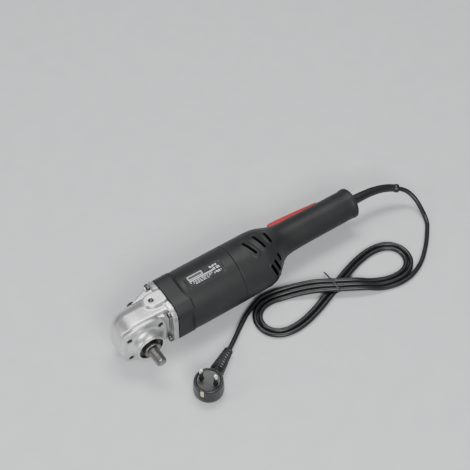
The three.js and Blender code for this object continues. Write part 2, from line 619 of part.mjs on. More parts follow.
/** Point of the hank: a figure of eight that drifts sideways by one pitch in each turn. */
function hankPoint(angle, aside = 0) {
  const t = angle * DEG;
  const along = [-HANK.length * Math.sin(t), HANK.width * Math.cos(2 * t)];
  const size = Math.hypot(...along);
  const x = HANK.length * Math.cos(t) + (along[1] / size) * aside;
  const y = HANK.width * Math.sin(t) * Math.cos(t) - (along[0] / size) * aside;
  const turn = HANK.turn * DEG;
  return [HANK.x + x * Math.cos(turn) - y * Math.sin(turn), HANK.y + x * Math.sin(turn) + y * Math.cos(turn)];
}

/** Sideways drift of the strand that passes an angle, counted from the middle turn. */
function drift(angle) {
  return (HANK.pitch * (angle - (HANK.from + HANK.to) / 2)) / 360;
}

/** Outline points of one lobe, just outside its outermost strand; pickPass gives that strand's own angle. */
function lobeOutline(from, to, side, pickPass) {
  const count = 14;
  return Array.from({ length: count + 1 }, (_, i) => {
    const angle = from + ((to - from) * i) / count;
    return hankPoint(angle, drift(pickPass(angle)) + side * (CORD_R + 0.6));
  });
}

function placeOnHank(shape) {
  return shape.rotate([0, 0, HANK.turn]).translate([HANK.x, HANK.y, REST_Z]);
}

/** Outer shape of the hank, with a waist for the tie and a stub towards each loose end. */
function hank() {
  const firstPass = (angle) => (angle + 360 <= HANK.from ? angle + 360 : angle);
  const lastPass = (angle) => (angle - 720 >= HANK.to ? angle - 720 : angle - 360);
  const outline = [...lobeOutline(-80, 80, 1, firstPass), ...lobeOutline(260, 100, -1, lastPass)];
  const { lobe, waist, waistHalf } = HANK_HEIGHT;
  const middle = placeOnHank(block(-waistHalf, waistHalf, -60, 60, 0, waist));
  const lobes = prism(outline, REST_Z, REST_Z + lobe, 'z');
  const raised = prism(outline, REST_Z, REST_Z + waist, 'z').intersect(middle);
  const { half, thick, side } = TIE;
  const step = thick + 2 * GAP;
  const slot = placeOnHank(block(-half - GAP, half + GAP, -60, 60, -1, waist + 1));
  const core = placeOnHank(block(-half - 1, half + 1, step - side, side - step, step, waist - step));
  return joined(cut(joined(lobes, raised), slot), core, cordTube(LEAD_STUB), cordTube(TAIL_STUB));
}

/** Flat band round the waist of the hank, with its ends twisted together on top. */
function tieBand() {
  const { half, thick, side } = TIE;
  const top = HANK_HEIGHT.waist;
  const outer = block(-half, half, -side, side, 0, top);
  const inner = block(-5, 5, thick - side, side - thick, thick, top - thick);
  const tail = block(-1, 1, side - 1, side + 14, top - 1.2, top);
  return placeOnHank(joined(cut(outer, inner), tail));
}

/** The same line with its first point moved on by a little more than the gap, so that the end faces clear. */
function inset(line) {
  const [first, second] = [new THREE.Vector3(...line[0]), new THREE.Vector3(...line[1])];
  const step = second.sub(first).setLength(2.5 * GAP);
  return [first.add(step).toArray(), ...line.slice(1)];
}

add('cord_lead', cordTube(inset(LEAD_LINE.toReversed()).toReversed()), RUBBER);
add('cord_hank', hank(), RUBBER);
add('cord_tie', tieBand(), RUBBER);
add('cord_tail', cordTube(inset(TAIL_LINE)), RUBBER);

const plug = new THREE.Group();
plug.position.set(PLUG.x, PLUG.y, REST_Z);
plug.rotation.z = PLUG.turn * DEG;
tool.add(plug);

/** Round plug lying on its back: recessed face up, lead leaving along the group's own +X. */
function plugBody() {
  const body = turned([
    [0, 0], [PLUG.r - 3, 0], [PLUG.r - 0.6, 3], [PLUG.r, 8], [PLUG.r - 0.8, PLUG.height - 1],
    [PLUG.r - 1.6, PLUG.height], [15.5, PLUG.height], [15, PLUG.height - 1.4], [0, PLUG.height - 1.4],
  ], 'z', 24);
  const sockets = [1, -1].map((side) => rod(2.7, 14, 40, 'z', SMALL, [0, 9.5 * side, 0]));
  const neck = hose([[10, 0, 12], [18, 0, 12], [24, 0, 11.6]], [9, 9, 8.6], 12);
  const clipNotch = block(-22, -17, -2.6, 2.6, 14, 40);
  return cut(joined(body, neck), ...sockets, clipNotch);
}

add('plug_body', plugBody(), RUBBER, plug);
[1, -1].forEach((side, i) => {
  const pin = turned([[0, 14.3], [2.4, 14.3], [2.4, PLUG.height + 16.4], [1.2, PLUG.height + 17.6],
    [0, PLUG.height + 17.6]], 'z', SMALL, [0, 9.5 * side, 0]);
  add(`plug_pin_${i + 1}`, pin, BRASS, plug);
});
add('plug_earth_clip', block(-18.6, -17.3, -2.2, 2.2, 14.3, PLUG.height), BRASS, plug);
add('plug_relief', hose([[24.3, 0, 11.6], [38, 0, 10.2], [52, 0, 8.6], [60, 0, 6.9]],
  [8.2, 7.2, 6.2, 5.4, 4.6], 12), RUBBER, plug);

// The origin is under the middle of the tool, on the surface it lies on.
tool.position.set(-(NOSE_X + END_X) / 2, -(SPINDLE_TIP_Y + HOUSING_R) / 2, -REST_Z);
const scene = new THREE.Group();
scene.add(tool);

export default scene;
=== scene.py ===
"""Looks of a rotary polisher lying on its side: cast gear head, moulded housing and handle, coiled lead."""
import json
import math

import bmesh
import bpy
import numpy as np
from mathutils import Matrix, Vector


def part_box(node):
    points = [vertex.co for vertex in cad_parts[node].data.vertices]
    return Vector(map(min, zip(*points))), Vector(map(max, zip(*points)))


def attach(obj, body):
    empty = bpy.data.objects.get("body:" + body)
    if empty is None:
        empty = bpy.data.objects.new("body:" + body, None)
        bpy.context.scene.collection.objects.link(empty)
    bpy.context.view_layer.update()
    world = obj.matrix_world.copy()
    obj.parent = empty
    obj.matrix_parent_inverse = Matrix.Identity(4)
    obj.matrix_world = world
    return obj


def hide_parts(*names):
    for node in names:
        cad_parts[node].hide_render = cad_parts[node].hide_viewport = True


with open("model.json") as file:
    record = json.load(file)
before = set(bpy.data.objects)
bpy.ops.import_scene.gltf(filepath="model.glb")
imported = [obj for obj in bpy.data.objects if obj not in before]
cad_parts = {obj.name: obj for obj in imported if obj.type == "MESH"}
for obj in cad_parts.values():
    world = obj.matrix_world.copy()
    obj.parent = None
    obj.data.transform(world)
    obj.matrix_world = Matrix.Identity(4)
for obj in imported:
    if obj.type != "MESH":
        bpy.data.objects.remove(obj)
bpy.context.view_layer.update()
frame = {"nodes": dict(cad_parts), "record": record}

# ------------------------------------------------------------------ drawing frame
# Shapes are drawn in millimetres with the motor along X and the gear case flange at x = 0. ORIGIN carries
# them into the row frame: the handle's end, the spindle's tip and the rest flat are read from the CAD nodes.
MM = 0.001
END_X = 297.0
SPINDLE_TIP_Y = -64.4
REST_Z = -38.6
ORIGIN = np.array([
    END_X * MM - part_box("rear_shell_upper")[1].x,
    SPINDLE_TIP_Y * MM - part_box("spindle")[0].y,
    REST_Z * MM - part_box("motor_housing")[0].z,
])

GAP = 0.3
HOUSING_R = 39.5
WALL = 3.0
SPINDLE_X = -44.0
HANDLE_Y = 9.5
CORD_R = 3.25
FLOOR_Z = REST_Z + CORD_R  # height of a cord's middle when it lies on the floor

PADDLE_PIN = (254.0, 27.5)
DIAL_X, DIAL_Y, DIAL_R = 160.0, 29.5, 9.0
LOCK_X, LOCK_Z = -36.0, 12.0
PLUG_X, PLUG_Y, PLUG_TURN = -7.0, -109.0, math.radians(32)
LABEL_TURN = math.radians(8)
COVER_SCREWS = [(SPINDLE_X + dx, z) for dx in (22, -22) for z in (18, -18)]
COVER_R, COVER_BACK = 33.2, 31.2  # edge of the cover round its nose, and next to the flange
NOSE_POWER = 3  # superellipse power of the nose of the case and of the cover
CASE_SCREWS = [(25, 26), (25, -26), (-25, 26), (-25, -26)]
SHELL_SCREWS = [(132, 27), (132, -27), (172, 9), (264, HANDLE_Y)]


def to_frame(points):
    """Row-frame metres of drawing millimetres: scaled by a thousandth and moved by the origin."""
    return np.asarray(points, float) * MM - ORIGIN


# ------------------------------------------------------------------ camera, lights and world

def look_from(obj, place, target):
    obj.location = place
    obj.rotation_euler = (Vector(target) - Vector(place)).to_track_quat("-Z", "Y").to_euler()


def soft_light(name, place, target, size, power):
    light = bpy.data.lights.new(name, "AREA")
    light.shape = "RECTANGLE"
    light.size, light.size_y = size
    light.energy = power
    holder = bpy.data.objects.new(name, light)
    bpy.context.scene.collection.objects.link(holder)
    look_from(holder, place, target)


def studio():
    """Camera at azimuth -34 and elevation 52 degrees, a pale world and three soft lights."""
    scene = bpy.context.scene
    lens = bpy.data.cameras.new("studio_camera")
    lens.lens = 92.53
    lens.sensor_width = 36
    lens.clip_start, lens.clip_end = 0.05, 30
    camera = bpy.data.objects.new("studio_camera", lens)
    scene.collection.objects.link(camera)
    turn, rise = math.radians(-34), math.radians(52)
    back = Vector((math.sin(turn) * math.cos(rise), -math.cos(turn) * math.cos(rise), math.sin(rise)))
    camera.location = (-0.5159, -0.74595, 1.2861)
    camera.rotation_euler = (-back).to_track_quat("-Z", "Y").to_euler()
    scene.camera = camera

    world = bpy.data.worlds.new("studio_world")
    world.use_nodes = True
    world.node_tree.nodes["Background"].inputs["Color"].default_value = (0.86, 0.88, 0.9, 1)
    world.node_tree.nodes["Background"].inputs["Strength"].default_value = 0.3
    scene.world = world
    soft_light("key_light", (-0.5, -1.5, 1.3), (0, 0, 0), (1.1, 0.7), 34)
    soft_light("top_light", (0.3, 0.5, 1.9), (0.05, 0, 0), (1.3, 0.6), 26)
    soft_light("side_light", (-1.5, 0.3, 0.8), (0, 0, 0), (0.4, 1.0), 9)


# ------------------------------------------------------------------ the cord's route

HANK = {"x": 212.0, "y": -73.0, "turn": math.radians(-4), "length": 114.0, "width": 56.0, "pitch": 7.0}
HANK_FROM, HANK_TO = 325.0, -505.0
HANK_STEP = 12.5  # degrees between the hank's points
TIE_LIFT = 1.0
OVER = 6.6  # a strand that crosses another lies this much higher
LEAD_LINE = [
    (369.6, -2.15, -7.27), (379, -8.2, -11.8), (384.5, -15.5, -17), (387.3, -25, -23), (387.5, -35.5, -29),
    (386, -46, -33.5), (382, -56, FLOOR_Z), (374, -66, FLOOR_Z), (362, -79, FLOOR_Z),
    (349, -91, FLOOR_Z), (336, -101, FLOOR_Z), (321, -109, FLOOR_Z),
]
TAIL_LINE = [
    (119, -32.6, FLOOR_Z), (106, -37.6, FLOOR_Z), (96, -42.2, FLOOR_Z), (86, -48, FLOOR_Z),
    (75, -55.4, FLOOR_Z + 0.6), (64.5, -63, FLOOR_Z + 1.6), (54, -70.5, FLOOR_Z + 2.8),
    (44.6, -76.8, FLOOR_Z + 3.6),
]


def ease(low, high, values):
    """Smooth step: 0 below low, 1 above high, and 3t^2 - 2t^3 between them."""
    t = np.clip((values - low) / (high - low), 0, 1)
    return t * t * (3 - 2 * t)


def hank_line(angles):
    """Figure of eight (L cos t, W sin t cos t) moved along its normal by one pitch in each turn, and turned.
    Strands near t = 270 pass over those near t = 90 on a low hump, and all are lifted a little at the tie."""
    t = np.radians(angles)
    along = np.stack([-HANK["length"] * np.sin(t), HANK["width"] * np.cos(2 * t)], -1)
    along /= np.linalg.norm(along, axis=-1, keepdims=True)
    aside = HANK["pitch"] * (angles - (HANK_FROM + HANK_TO) / 2) / 360
    x = HANK["length"] * np.cos(t) + along[:, 1] * aside
    y = HANK["width"] * np.sin(t) * np.cos(t) - along[:, 0] * aside
    c, s = math.cos(HANK["turn"]), math.sin(HANK["turn"])
    far = np.abs(x)
    top = np.where(np.sin(t) < 0, OVER, 0.0) * (1 - ease(24, 62, far))
    lift = TIE_LIFT * (1 - ease(10, 62, far))
    return np.stack([HANK["x"] + x * c - y * s, HANK["y"] + x * s + y * c, FLOOR_Z + top + lift], -1)


def cord_route():
    """Points of the whole lead: loose run from the guard, two and a bit turns of the hank, and the tail."""
    turns = np.arange(HANK_FROM, HANK_TO - 1, -HANK_STEP)
    return np.vstack([LEAD_LINE, hank_line(turns), TAIL_LINE])


def smooth_curve(points, per_span=12):
    """Dense line through the points: a cubic in each span with centripetal tangents from its neighbours."""
    p = np.vstack([2 * points[0] - points[1], points, 2 * points[-1] - points[-2]])
    step = np.sqrt(np.linalg.norm(np.diff(p, axis=0), axis=1))
    d = (p[1:] - p[:-1]) / step[:, None]
    tangent = (d[:-1] * step[1:, None] + d[1:] * step[:-1, None]) / (step[:-1] + step[1:])[:, None]
    a, b = p[1:-2], p[2:-1]
    h = step[1:-1, None, None]
    ma, mb = tangent[:-1, None, :] * h, tangent[1:, None, :] * h
    t = (np.arange(per_span) / per_span)[None, :, None]
    dense = ((2 * t**3 - 3 * t**2 + 1) * a[:, None] + (t**3 - 2 * t**2 + t) * ma
             + (3 * t**2 - 2 * t**3) * b[:, None] + (t**3 - t**2) * mb)
    return np.vstack([dense.reshape(-1, 3), points[-1:]])


# ------------------------------------------------------------------ surfaces

def grid_faces(rows, columns, close_rows=False, close_columns=True):
    """Quads of a grid of points, joined round at the end of the rows or the columns where that is asked."""
    i, j = np.meshgrid(np.arange(rows - (not close_rows)), np.arange(columns - (not close_columns)),
                       indexing="ij")
    i, j = i.ravel(), j.ravel()
    i2, j2 = (i + 1) % rows, (j + 1) % columns
    return np.stack([i * columns + j, i * columns + j2, i2 * columns + j2, i2 * columns + j], -1)


def fan_faces(ring, centre):
    """Triangles from a closed ring of point numbers to one middle point."""
    return np.stack([ring, np.roll(ring, -1), np.full(len(ring), centre)], -1)


def volume_of(points, faces):
    """Signed volume: a sixth of the sum of the triple products of the face triangles."""
    total = 0.0
    for face in faces:
        if len(face):
            a = points[face[:, 0]]
            for k in range(1, face.shape[1] - 1):
                total += np.einsum("ij,ij->i", a, np.cross(points[face[:, k]], points[face[:, k + 1]])).sum()
    return total / 6


def new_piece(name, points, faces, sharp=35):
    """Mesh object from drawing points and arrays of faces, facing outwards, smooth below the sharp angle."""
    points = to_frame(points)
    if volume_of(points, faces) < 0:
        faces = [face[:, ::-1] for face in faces]
    mesh = bpy.data.meshes.new(name)
    mesh.from_pydata(points.tolist(), [], [tuple(f) for face in faces for f in face.tolist()])
    mesh.validate()
    mesh.update()
    obj = bpy.data.objects.new(name, mesh)
    bpy.context.scene.collection.objects.link(obj)
    smooth_below(mesh, sharp)
    return obj


def smooth_below(mesh, angle):
    mesh.shade_smooth()
    mesh.set_sharp_from_angle(angle=math.radians(angle))


def tube_surface(rings, closed=False):
    """Points and faces of a surface through rings: closed into a loop, or with a middle point on each end."""
    rows, columns = rings.shape[:2]
    points = rings.reshape(-1, 3)
    faces = [grid_faces(rows, columns, close_rows=closed)]
    if not closed:
        ends = np.stack([rings[0].mean(0), rings[-1].mean(0)])
        first = np.arange(columns)
        last = first + (rows - 1) * columns
        faces += [fan_faces(first[::-1], len(points)), fan_faces(last, len(points) + 1)]
        points = np.vstack([points, ends])
    return points, faces


def placed_piece(name, rings, place):
    """Piece from rings drawn about an axis of its own, which place carries to where the piece lies."""
    points, faces = tube_surface(rings)
    return new_piece(name, place(points), faces)


def rounded(profile, radius, steps=5):
    """The same open line with each inner corner replaced by a curve that is tangent to both sides."""
    p = np.asarray(profile, float)
    line = [p[0]]
    for before, corner, after in zip(p[:-2], p[1:-1], p[2:]):
        a, b = before - corner, after - corner
        la, lb = np.linalg.norm(a), np.linalg.norm(b)
        cut = min(radius, 0.45 * la, 0.45 * lb)
        t = np.linspace(0, 1, steps)[:, None]
        start, end = corner + a / la * cut, corner + b / lb * cut
        line += list((1 - t) ** 2 * start + 2 * t * (1 - t) * corner + t**2 * end)
    return np.array([*line, p[-1]])


AXIS_ORDER = {"x": (1, 0, 2), "y": (0, 1, 2), "z": (0, 2, 1)}


def lathe_rings(profile, axis, centre, steps=96):
    """Rings of a profile of (radius, along) turned about an axis through the centre."""
    profile = np.asarray(profile, float)
    turn = np.arange(steps) * 2 * math.pi / steps
    radius, along = profile[:, :1], profile[:, 1:]
    parts = [radius * np.cos(turn), along + 0 * turn, radius * np.sin(turn)]
    return np.stack([parts[k] for k in AXIS_ORDER[axis]], -1) + np.asarray(centre, float)


def lathe(name, profile, axis, centre, steps=96, closed=False, sharp=35):
    """Solid of revolution. An open profile ends on small rings that are closed by a middle point."""
    points, faces = tube_surface(lathe_rings(profile, axis, centre, steps), closed)
    return new_piece(name, points, faces, sharp)


def cut_away(obj, cutters, solver="EXACT", operation="DIFFERENCE", overlap=False):
    """Cuts the cutter objects out of obj, or joins them to it, and removes them."""
    for cutter in cutters:
        tool = obj.modifiers.new("cut", "BOOLEAN")
        tool.operation = operation
        tool.solver = solver
        tool.use_self = overlap
        tool.object = cutter
    settle(obj)
    for cutter in cutters:
        bpy.data.objects.remove(cutter)


def settle(obj, sharp=35):
    """Replaces the mesh by the result of the modifiers."""
    graph = bpy.context.evaluated_depsgraph_get()
    mesh = bpy.data.meshes.new_from_object(obj.evaluated_get(graph))
    obj.modifiers.clear()
    old, obj.data = obj.data, mesh
    bpy.data.meshes.remove(old)
    smooth_below(mesh, sharp)


def merged(name, objects):
    """One mesh object that holds the closed shells of several, which may overlap."""
    shape = bmesh.new()
    for obj in objects:
        shape.from_mesh(obj.data)
        bpy.data.objects.remove(obj)
    mesh = bpy.data.meshes.new(name)
    shape.to_mesh(mesh)
    shape.free()
    whole = bpy.data.objects.new(name, mesh)
    bpy.context.scene.collection.objects.link(whole)
    return whole


BOX_FACES = np.array([[0, 3, 2, 1], [4, 5, 6, 7], [0, 1, 5, 4], [1, 2, 6, 5], [2, 3, 7, 6], [3, 0, 4, 7]])


def box_corners(x0, x1, y0, y1, z0, z1):
    plan = ((x0, y0), (x1, y0), (x1, y1), (x0, y1))
    return np.array([[x, y, z] for z in (z0, z1) for x, y in plan], float)


def block(*limits):
    return new_piece("block", box_corners(*limits), [BOX_FACES])


def rod(radius, start, end, axis, centre, steps=48):
    return lathe("rod", [(radius, start), (radius, end)], axis, centre, steps)


def spline_through(x, y, at):
    """Monotone cubic through (x, y): slopes are harmonic means of the neighbouring chords, flat at a turn."""
    x, y, at = np.asarray(x, float), np.asarray(y, float), np.asarray(at, float)
    h = np.diff(x)
    chord = np.diff(y) / h
    same = chord[:-1] * chord[1:] > 0
    mean = np.where(same, 2 * chord[:-1] * chord[1:] / np.where(same, chord[:-1] + chord[1:], 1), 0)
    slope = np.concatenate([[chord[0]], mean, [chord[-1]]])
    k = np.clip(np.searchsorted(x, at) - 1, 0, len(h) - 1)
    t = (at - x[k]) / h[k]
    return ((2 * t**3 - 3 * t**2 + 1) * y[k] + (t**3 - 2 * t**2 + t) * h[k] * slope[k]
            + (3 * t**2 - 2 * t**3) * y[k + 1] + (t**3 - t**2) * h[k] * slope[k + 1])


def swept_rings(line, radii, steps=24, squash=1.0):
    """Round or flattened section carried along a line, with its side vector level with the floor."""
    along = np.gradient(line, axis=0)
    along /= np.linalg.norm(along, axis=1, keepdims=True)
    side = np.cross([0, 0, 1.0], along)
    side /= np.linalg.norm(side, axis=1, keepdims=True)
    up = np.cross(along, side)
    turn = np.arange(steps) * 2 * math.pi / steps
    c, s = np.cos(turn)[None, :, None], np.sin(turn)[None, :, None]
    return line[:, None] + radii[:, None, None] * (c * side[:, None] + squash * s * up[:, None])


# ------------------------------------------------------------------ shared shader effects

def effect(name, numbers, results):
    """Empty node group with number inputs (name, value) and the named results (name, kind)."""
    tree = bpy.data.node_groups.new(name, "ShaderNodeTree")
    for label, value in numbers:
        socket = tree.interface.new_socket(name=label, in_out="INPUT", socket_type="NodeSocketFloat")
        socket.default_value = value
    for label, kind in results:
        tree.interface.new_socket(name=label, in_out="OUTPUT", socket_type=f"NodeSocket{kind}")
    return tree, tree.nodes.new("NodeGroupInput"), tree.nodes.new("NodeGroupOutput")


def node(tree, kind, inputs=None, **settings):
    """New node of a kind with its settings and input values; an input may be another node's output."""
    made = tree.nodes.new(f"ShaderNode{kind}")
    for key, value in settings.items():
        setattr(made, key, value)
    for key, value in (inputs or {}).items():
        if isinstance(value, bpy.types.NodeSocket):
            tree.links.new(value, made.inputs[key])
        else:
            made.inputs[key].default_value = value
    return made


def math_node(tree, operation, a, b, clamp=False):
    return node(tree, "Math", {0: a, 1: b}, operation=operation, use_clamp=clamp).outputs[0]


def band(tree, value, low, high, out_low=0.0, out_high=1.0):
    """Smooth change from out_low to out_high as the value goes from low to high."""
    made = node(tree, "MapRange", {"Value": value, "From Min": low, "From Max": high, "To Min": out_low,
                                   "To Max": out_high}, interpolation_type="SMOOTHSTEP")
    return made.outputs["Result"]


def grain_effect():
    """Fine grain of a surface: noise at the grain's size plus a finer one, and a slow tone over the piece."""
    tree, given, result = effect("surface_grain", [("Size", 1.0), ("Slow size", 30.0)],
                                 [("Height", "Float"), ("Tone", "Float")])
    place = node(tree, "TexCoord").outputs["Object"]
    scale = math_node(tree, "DIVIDE", 1000.0, given.outputs["Size"])
    coarse = node(tree, "TexNoise", {"Vector": place, "Scale": scale, "Detail": 3.0, "Roughness": 0.6})
    fine = node(tree, "TexVoronoi", {"Vector": place, "Scale": scale}, feature="SMOOTH_F1")
    slow_scale = math_node(tree, "DIVIDE", 1000.0, given.outputs["Slow size"])
    slow = node(tree, "TexNoise", {"Vector": place, "Scale": slow_scale, "Detail": 4.0, "Roughness": 0.55})
    pits = math_node(tree, "MULTIPLY", fine.outputs["Distance"], 0.5)
    height = math_node(tree, "ADD", coarse.outputs["Fac"], pits)
    tree.links.new(height, result.inputs["Height"])
    tree.links.new(slow.outputs["Fac"], result.inputs["Tone"])
    return tree


def edge_effect():
    """Worn edges where the surface is sharply convex, broken up by noise; with Start above End it picks the
    hollows instead, which take a painted shade.
    """
    tree, given, result = effect("edge_wear_and_hollow_shade", [("Start", 0.52), ("End", 0.6), ("Break up", 60.0)],
                                 [("Mask", "Float")])
    place = node(tree, "TexCoord").outputs["Object"]
    curve = node(tree, "NewGeometry").outputs["Pointiness"]
    edge = node(tree, "MapRange", {"Value": curve, "From Min": given.outputs["Start"],
                                   "From Max": given.outputs["End"]}, interpolation_type="SMOOTHSTEP")
    chips = node(tree, "TexNoise", {"Vector": place, "Scale": given.outputs["Break up"], "Detail": 5.0})
    broken = band(tree, chips.outputs["Fac"], 0.38, 0.62)
    tree.links.new(math_node(tree, "MULTIPLY", edge.outputs["Result"], broken), result.inputs["Mask"])
    return tree


def dust_effect():
    """Film of dust: settles on faces that look up, in soft patches."""
    tree, given, result = effect("dust_film", [("Amount", 0.2)], [("Mask", "Float")])
    place = node(tree, "TexCoord").outputs["Object"]
    facing = node(tree, "SeparateXYZ", {"Vector": node(tree, "NewGeometry").outputs["Normal"]}).outputs["Z"]
    level = band(tree, facing, 0.1, 0.95)
    patches = node(tree, "TexNoise", {"Vector": place, "Scale": 45.0, "Detail": 6.0, "Roughness": 0.65})
    soft = band(tree, patches.outputs["Fac"], 0.35, 0.75)
    settled = math_node(tree, "MULTIPLY", level, soft)
    mask = math_node(tree, "MULTIPLY", settled, given.outputs["Amount"], clamp=True)
    tree.links.new(mask, result.inputs["Mask"])
    return tree


GRAIN, EDGES, DUST = grain_effect(), edge_effect(), dust_effect()


def use_effect(tree, effect_tree, **values):
    made = tree.nodes.new("ShaderNodeGroup")
    made.node_tree = effect_tree
    for key, value in values.items():
        made.inputs[key.replace("_", " ")].default_value = value
    return made.outputs


def mix_colour(tree, factor, a, b, blend="MIX"):
    made = node(tree, "Mix", data_type="RGBA", blend_type=blend)
    for key, value in (("Factor_Float", factor), ("A_Color", a), ("B_Color", b)):
        socket = next(s for s in made.inputs if s.identifier == key)
        if isinstance(value, bpy.types.NodeSocket):
            tree.links.new(value, socket)
        else:
            socket.default_value = value
    return next(s for s in made.outputs if s.identifier == "Result_Color")


def colour(red, green, blue, gain=1.0):
    return (red * gain, green * gain, blue * gain, 1.0)


def surface_finish(name, base, rough, metal=0.0, grain=1.0, bump=0.1, tone=0.12, spread=0.08, worn=None,
                   edge=(0.53, 0.62), dust=0.15, coat=0.0, clear=0.3, specular=0.5, hollow_shade=None, picture=None):
    """Material of one finish. Its colour drifts slowly between two tones, lightens on worn edges and under
    dust, and a painted shade darkens its hollows; its roughness follows the grain and the dust; its relief
    is the grain. picture adds a layer on top, such as print, a pin sleeve or painted shade:
    a function that takes the tree and the colour and gives the new colour."""
    material = bpy.data.materials.new(name)
    material.use_nodes = True
    tree = material.node_tree
    shader = tree.nodes["Principled BSDF"]
    shader.inputs["Metallic"].default_value = metal
    shader.inputs["Coat Weight"].default_value = coat
    shader.inputs["Coat Roughness"].default_value = clear
    shader.inputs["Specular IOR Level"].default_value = specular
    fine = use_effect(tree, GRAIN, Size=grain)
    slow = band(tree, fine["Tone"], 0.3, 0.7)
    body = mix_colour(tree, slow, colour(*base, 1 - tone), colour(*base, 1 + tone))
    if picture:
        body = picture(tree, body)
    if worn:
        mask = use_effect(tree, EDGES, Start=edge[0], End=edge[1])["Mask"]
        body = mix_colour(tree, mask, body, colour(*worn))
    # painted shade: the hollows, where the surface is concave, are darkened
    if hollow_shade:
        hollow = use_effect(tree, EDGES, Start=0.485, End=0.43)["Mask"]
        body = mix_colour(tree, hollow, body, colour(*hollow_shade))
    dust_and_shade_mask = use_effect(tree, DUST, Amount=dust)["Mask"]
    body = mix_colour(tree, dust_and_shade_mask, body, colour(0.3, 0.29, 0.27))
    tree.links.new(body, shader.inputs["Base Color"])
    gloss = band(tree, fine["Height"], 0.3, 1.1, rough - spread, rough + spread)
    gloss = math_node(tree, "ADD", gloss, math_node(tree, "MULTIPLY", dust_and_shade_mask, 0.25), clamp=True)
    tree.links.new(gloss, shader.inputs["Roughness"])
    relief = node(tree, "Bump", {"Height": fine["Height"], "Strength": bump, "Distance": 0.0003})
    tree.links.new(relief.outputs["Normal"], shader.inputs["Normal"])
    return material


def collar_mouth_shade(tree, ground):
    """Painted shade inside the collar: darkens within 16.8 mm of the spindle's axis and below its bearing
    seat.
    """
    place = node(tree, "SeparateXYZ", {"Vector": node(tree, "TexCoord").outputs["Object"]})
    x = math_node(tree, "SUBTRACT", place.outputs["X"], SPINDLE_X * MM - ORIGIN[0])
    z = math_node(tree, "ADD", place.outputs["Z"], float(ORIGIN[2]))
    square = math_node(tree, "ADD", math_node(tree, "MULTIPLY", x, x), math_node(tree, "MULTIPLY", z, z))
    away = math_node(tree, "SQRT", square, 0.0)
    inside = band(tree, away, 0.0163, 0.0169, 1.0, 0.0)
    low = band(tree, place.outputs["Y"], -0.0395 - ORIGIN[1], -0.0388 - ORIGIN[1], 0.0, 1.0)
    # painted shade: the inside of the collar's mouth is darkened to a near-black brown
    dust_and_shade_mask = math_node(tree, "MULTIPLY", math_node(tree, "MULTIPLY", inside, low), 0.93)
    return mix_colour(tree, dust_and_shade_mask, ground, colour(0.035, 0.03, 0.022))


def printed_label(tree, ground):
    """Printed plate: a plain framed field at the left, pale bars below it and at the right, in drawing
    millimetres along the plate (u) and across it (v). Each bar is a box with soft ends."""
    place = node(tree, "SeparateXYZ", {"Vector": node(tree, "TexCoord").outputs["Object"]})
    u = math_node(tree, "ADD", math_node(tree, "MULTIPLY", place.outputs["X"], 1000.0), ORIGIN[0] * 1000)
    y = math_node(tree, "ADD", math_node(tree, "MULTIPLY", place.outputs["Y"], 1000.0), ORIGIN[1] * 1000)
    v = math_node(tree, "ADD", y, 39 * math.sin(LABEL_TURN))

    def bar(u0, u1, v0, v1):
        spans = []
        for place_in, low, high, soft in ((u, u0, u1, 0.15), (v, v0, v1, 0.12)):
            inside = band(tree, place_in, low - soft, low + soft)
            beyond = band(tree, place_in, high - soft, high + soft, 1, 0)
            spans.append(math_node(tree, "MULTIPLY", inside, beyond))
        return math_node(tree, "MULTIPLY", *spans)

    print_tone = ground
    numbers = {"Scale": 95.0, "Distortion": 6.0, "Detail": 2.0, "Detail Scale": 3.0}
    dashes = node(tree, "TexWave", {"Vector": node(tree, "TexCoord").outputs["Object"], **numbers},
                  bands_direction="X")
    speckle = band(tree, dashes.outputs["Fac"], 0.25, 0.55)
    for (u0, u1, v0, v1), tint, plain in LABEL_PRINT:
        mask = bar(u0, u1, v0, v1)
        if not plain:
            mask = math_node(tree, "MULTIPLY", mask, speckle)
        print_tone = mix_colour(tree, mask, print_tone, colour(*tint))
    return print_tone


PALE, DARK = (0.66, 0.67, 0.68), (0.06, 0.06, 0.062)
LABEL_PRINT = [
    ((34.0, 55.0, 2.0, 7.2), PALE, True),
    ((34.8, 54.2, 2.8, 6.4), DARK, True),
    ((66.0, 77.0, 4.0, 6.4), PALE, False),
    ((34.0, 70.0, -0.4, 0.9), PALE, True),
    ((34.0, 66.0, -2.6, -1.6), PALE, False),
    ((38.0, 64.0, -4.4, -3.6), PALE, False),
    ((40.0, 60.0, -6.2, -5.4), PALE, False),
    ((69.0, 78.5, -0.6, 2.4), PALE, False),
    ((68.0, 78.0, -5.6, -3.0), PALE, False),
]

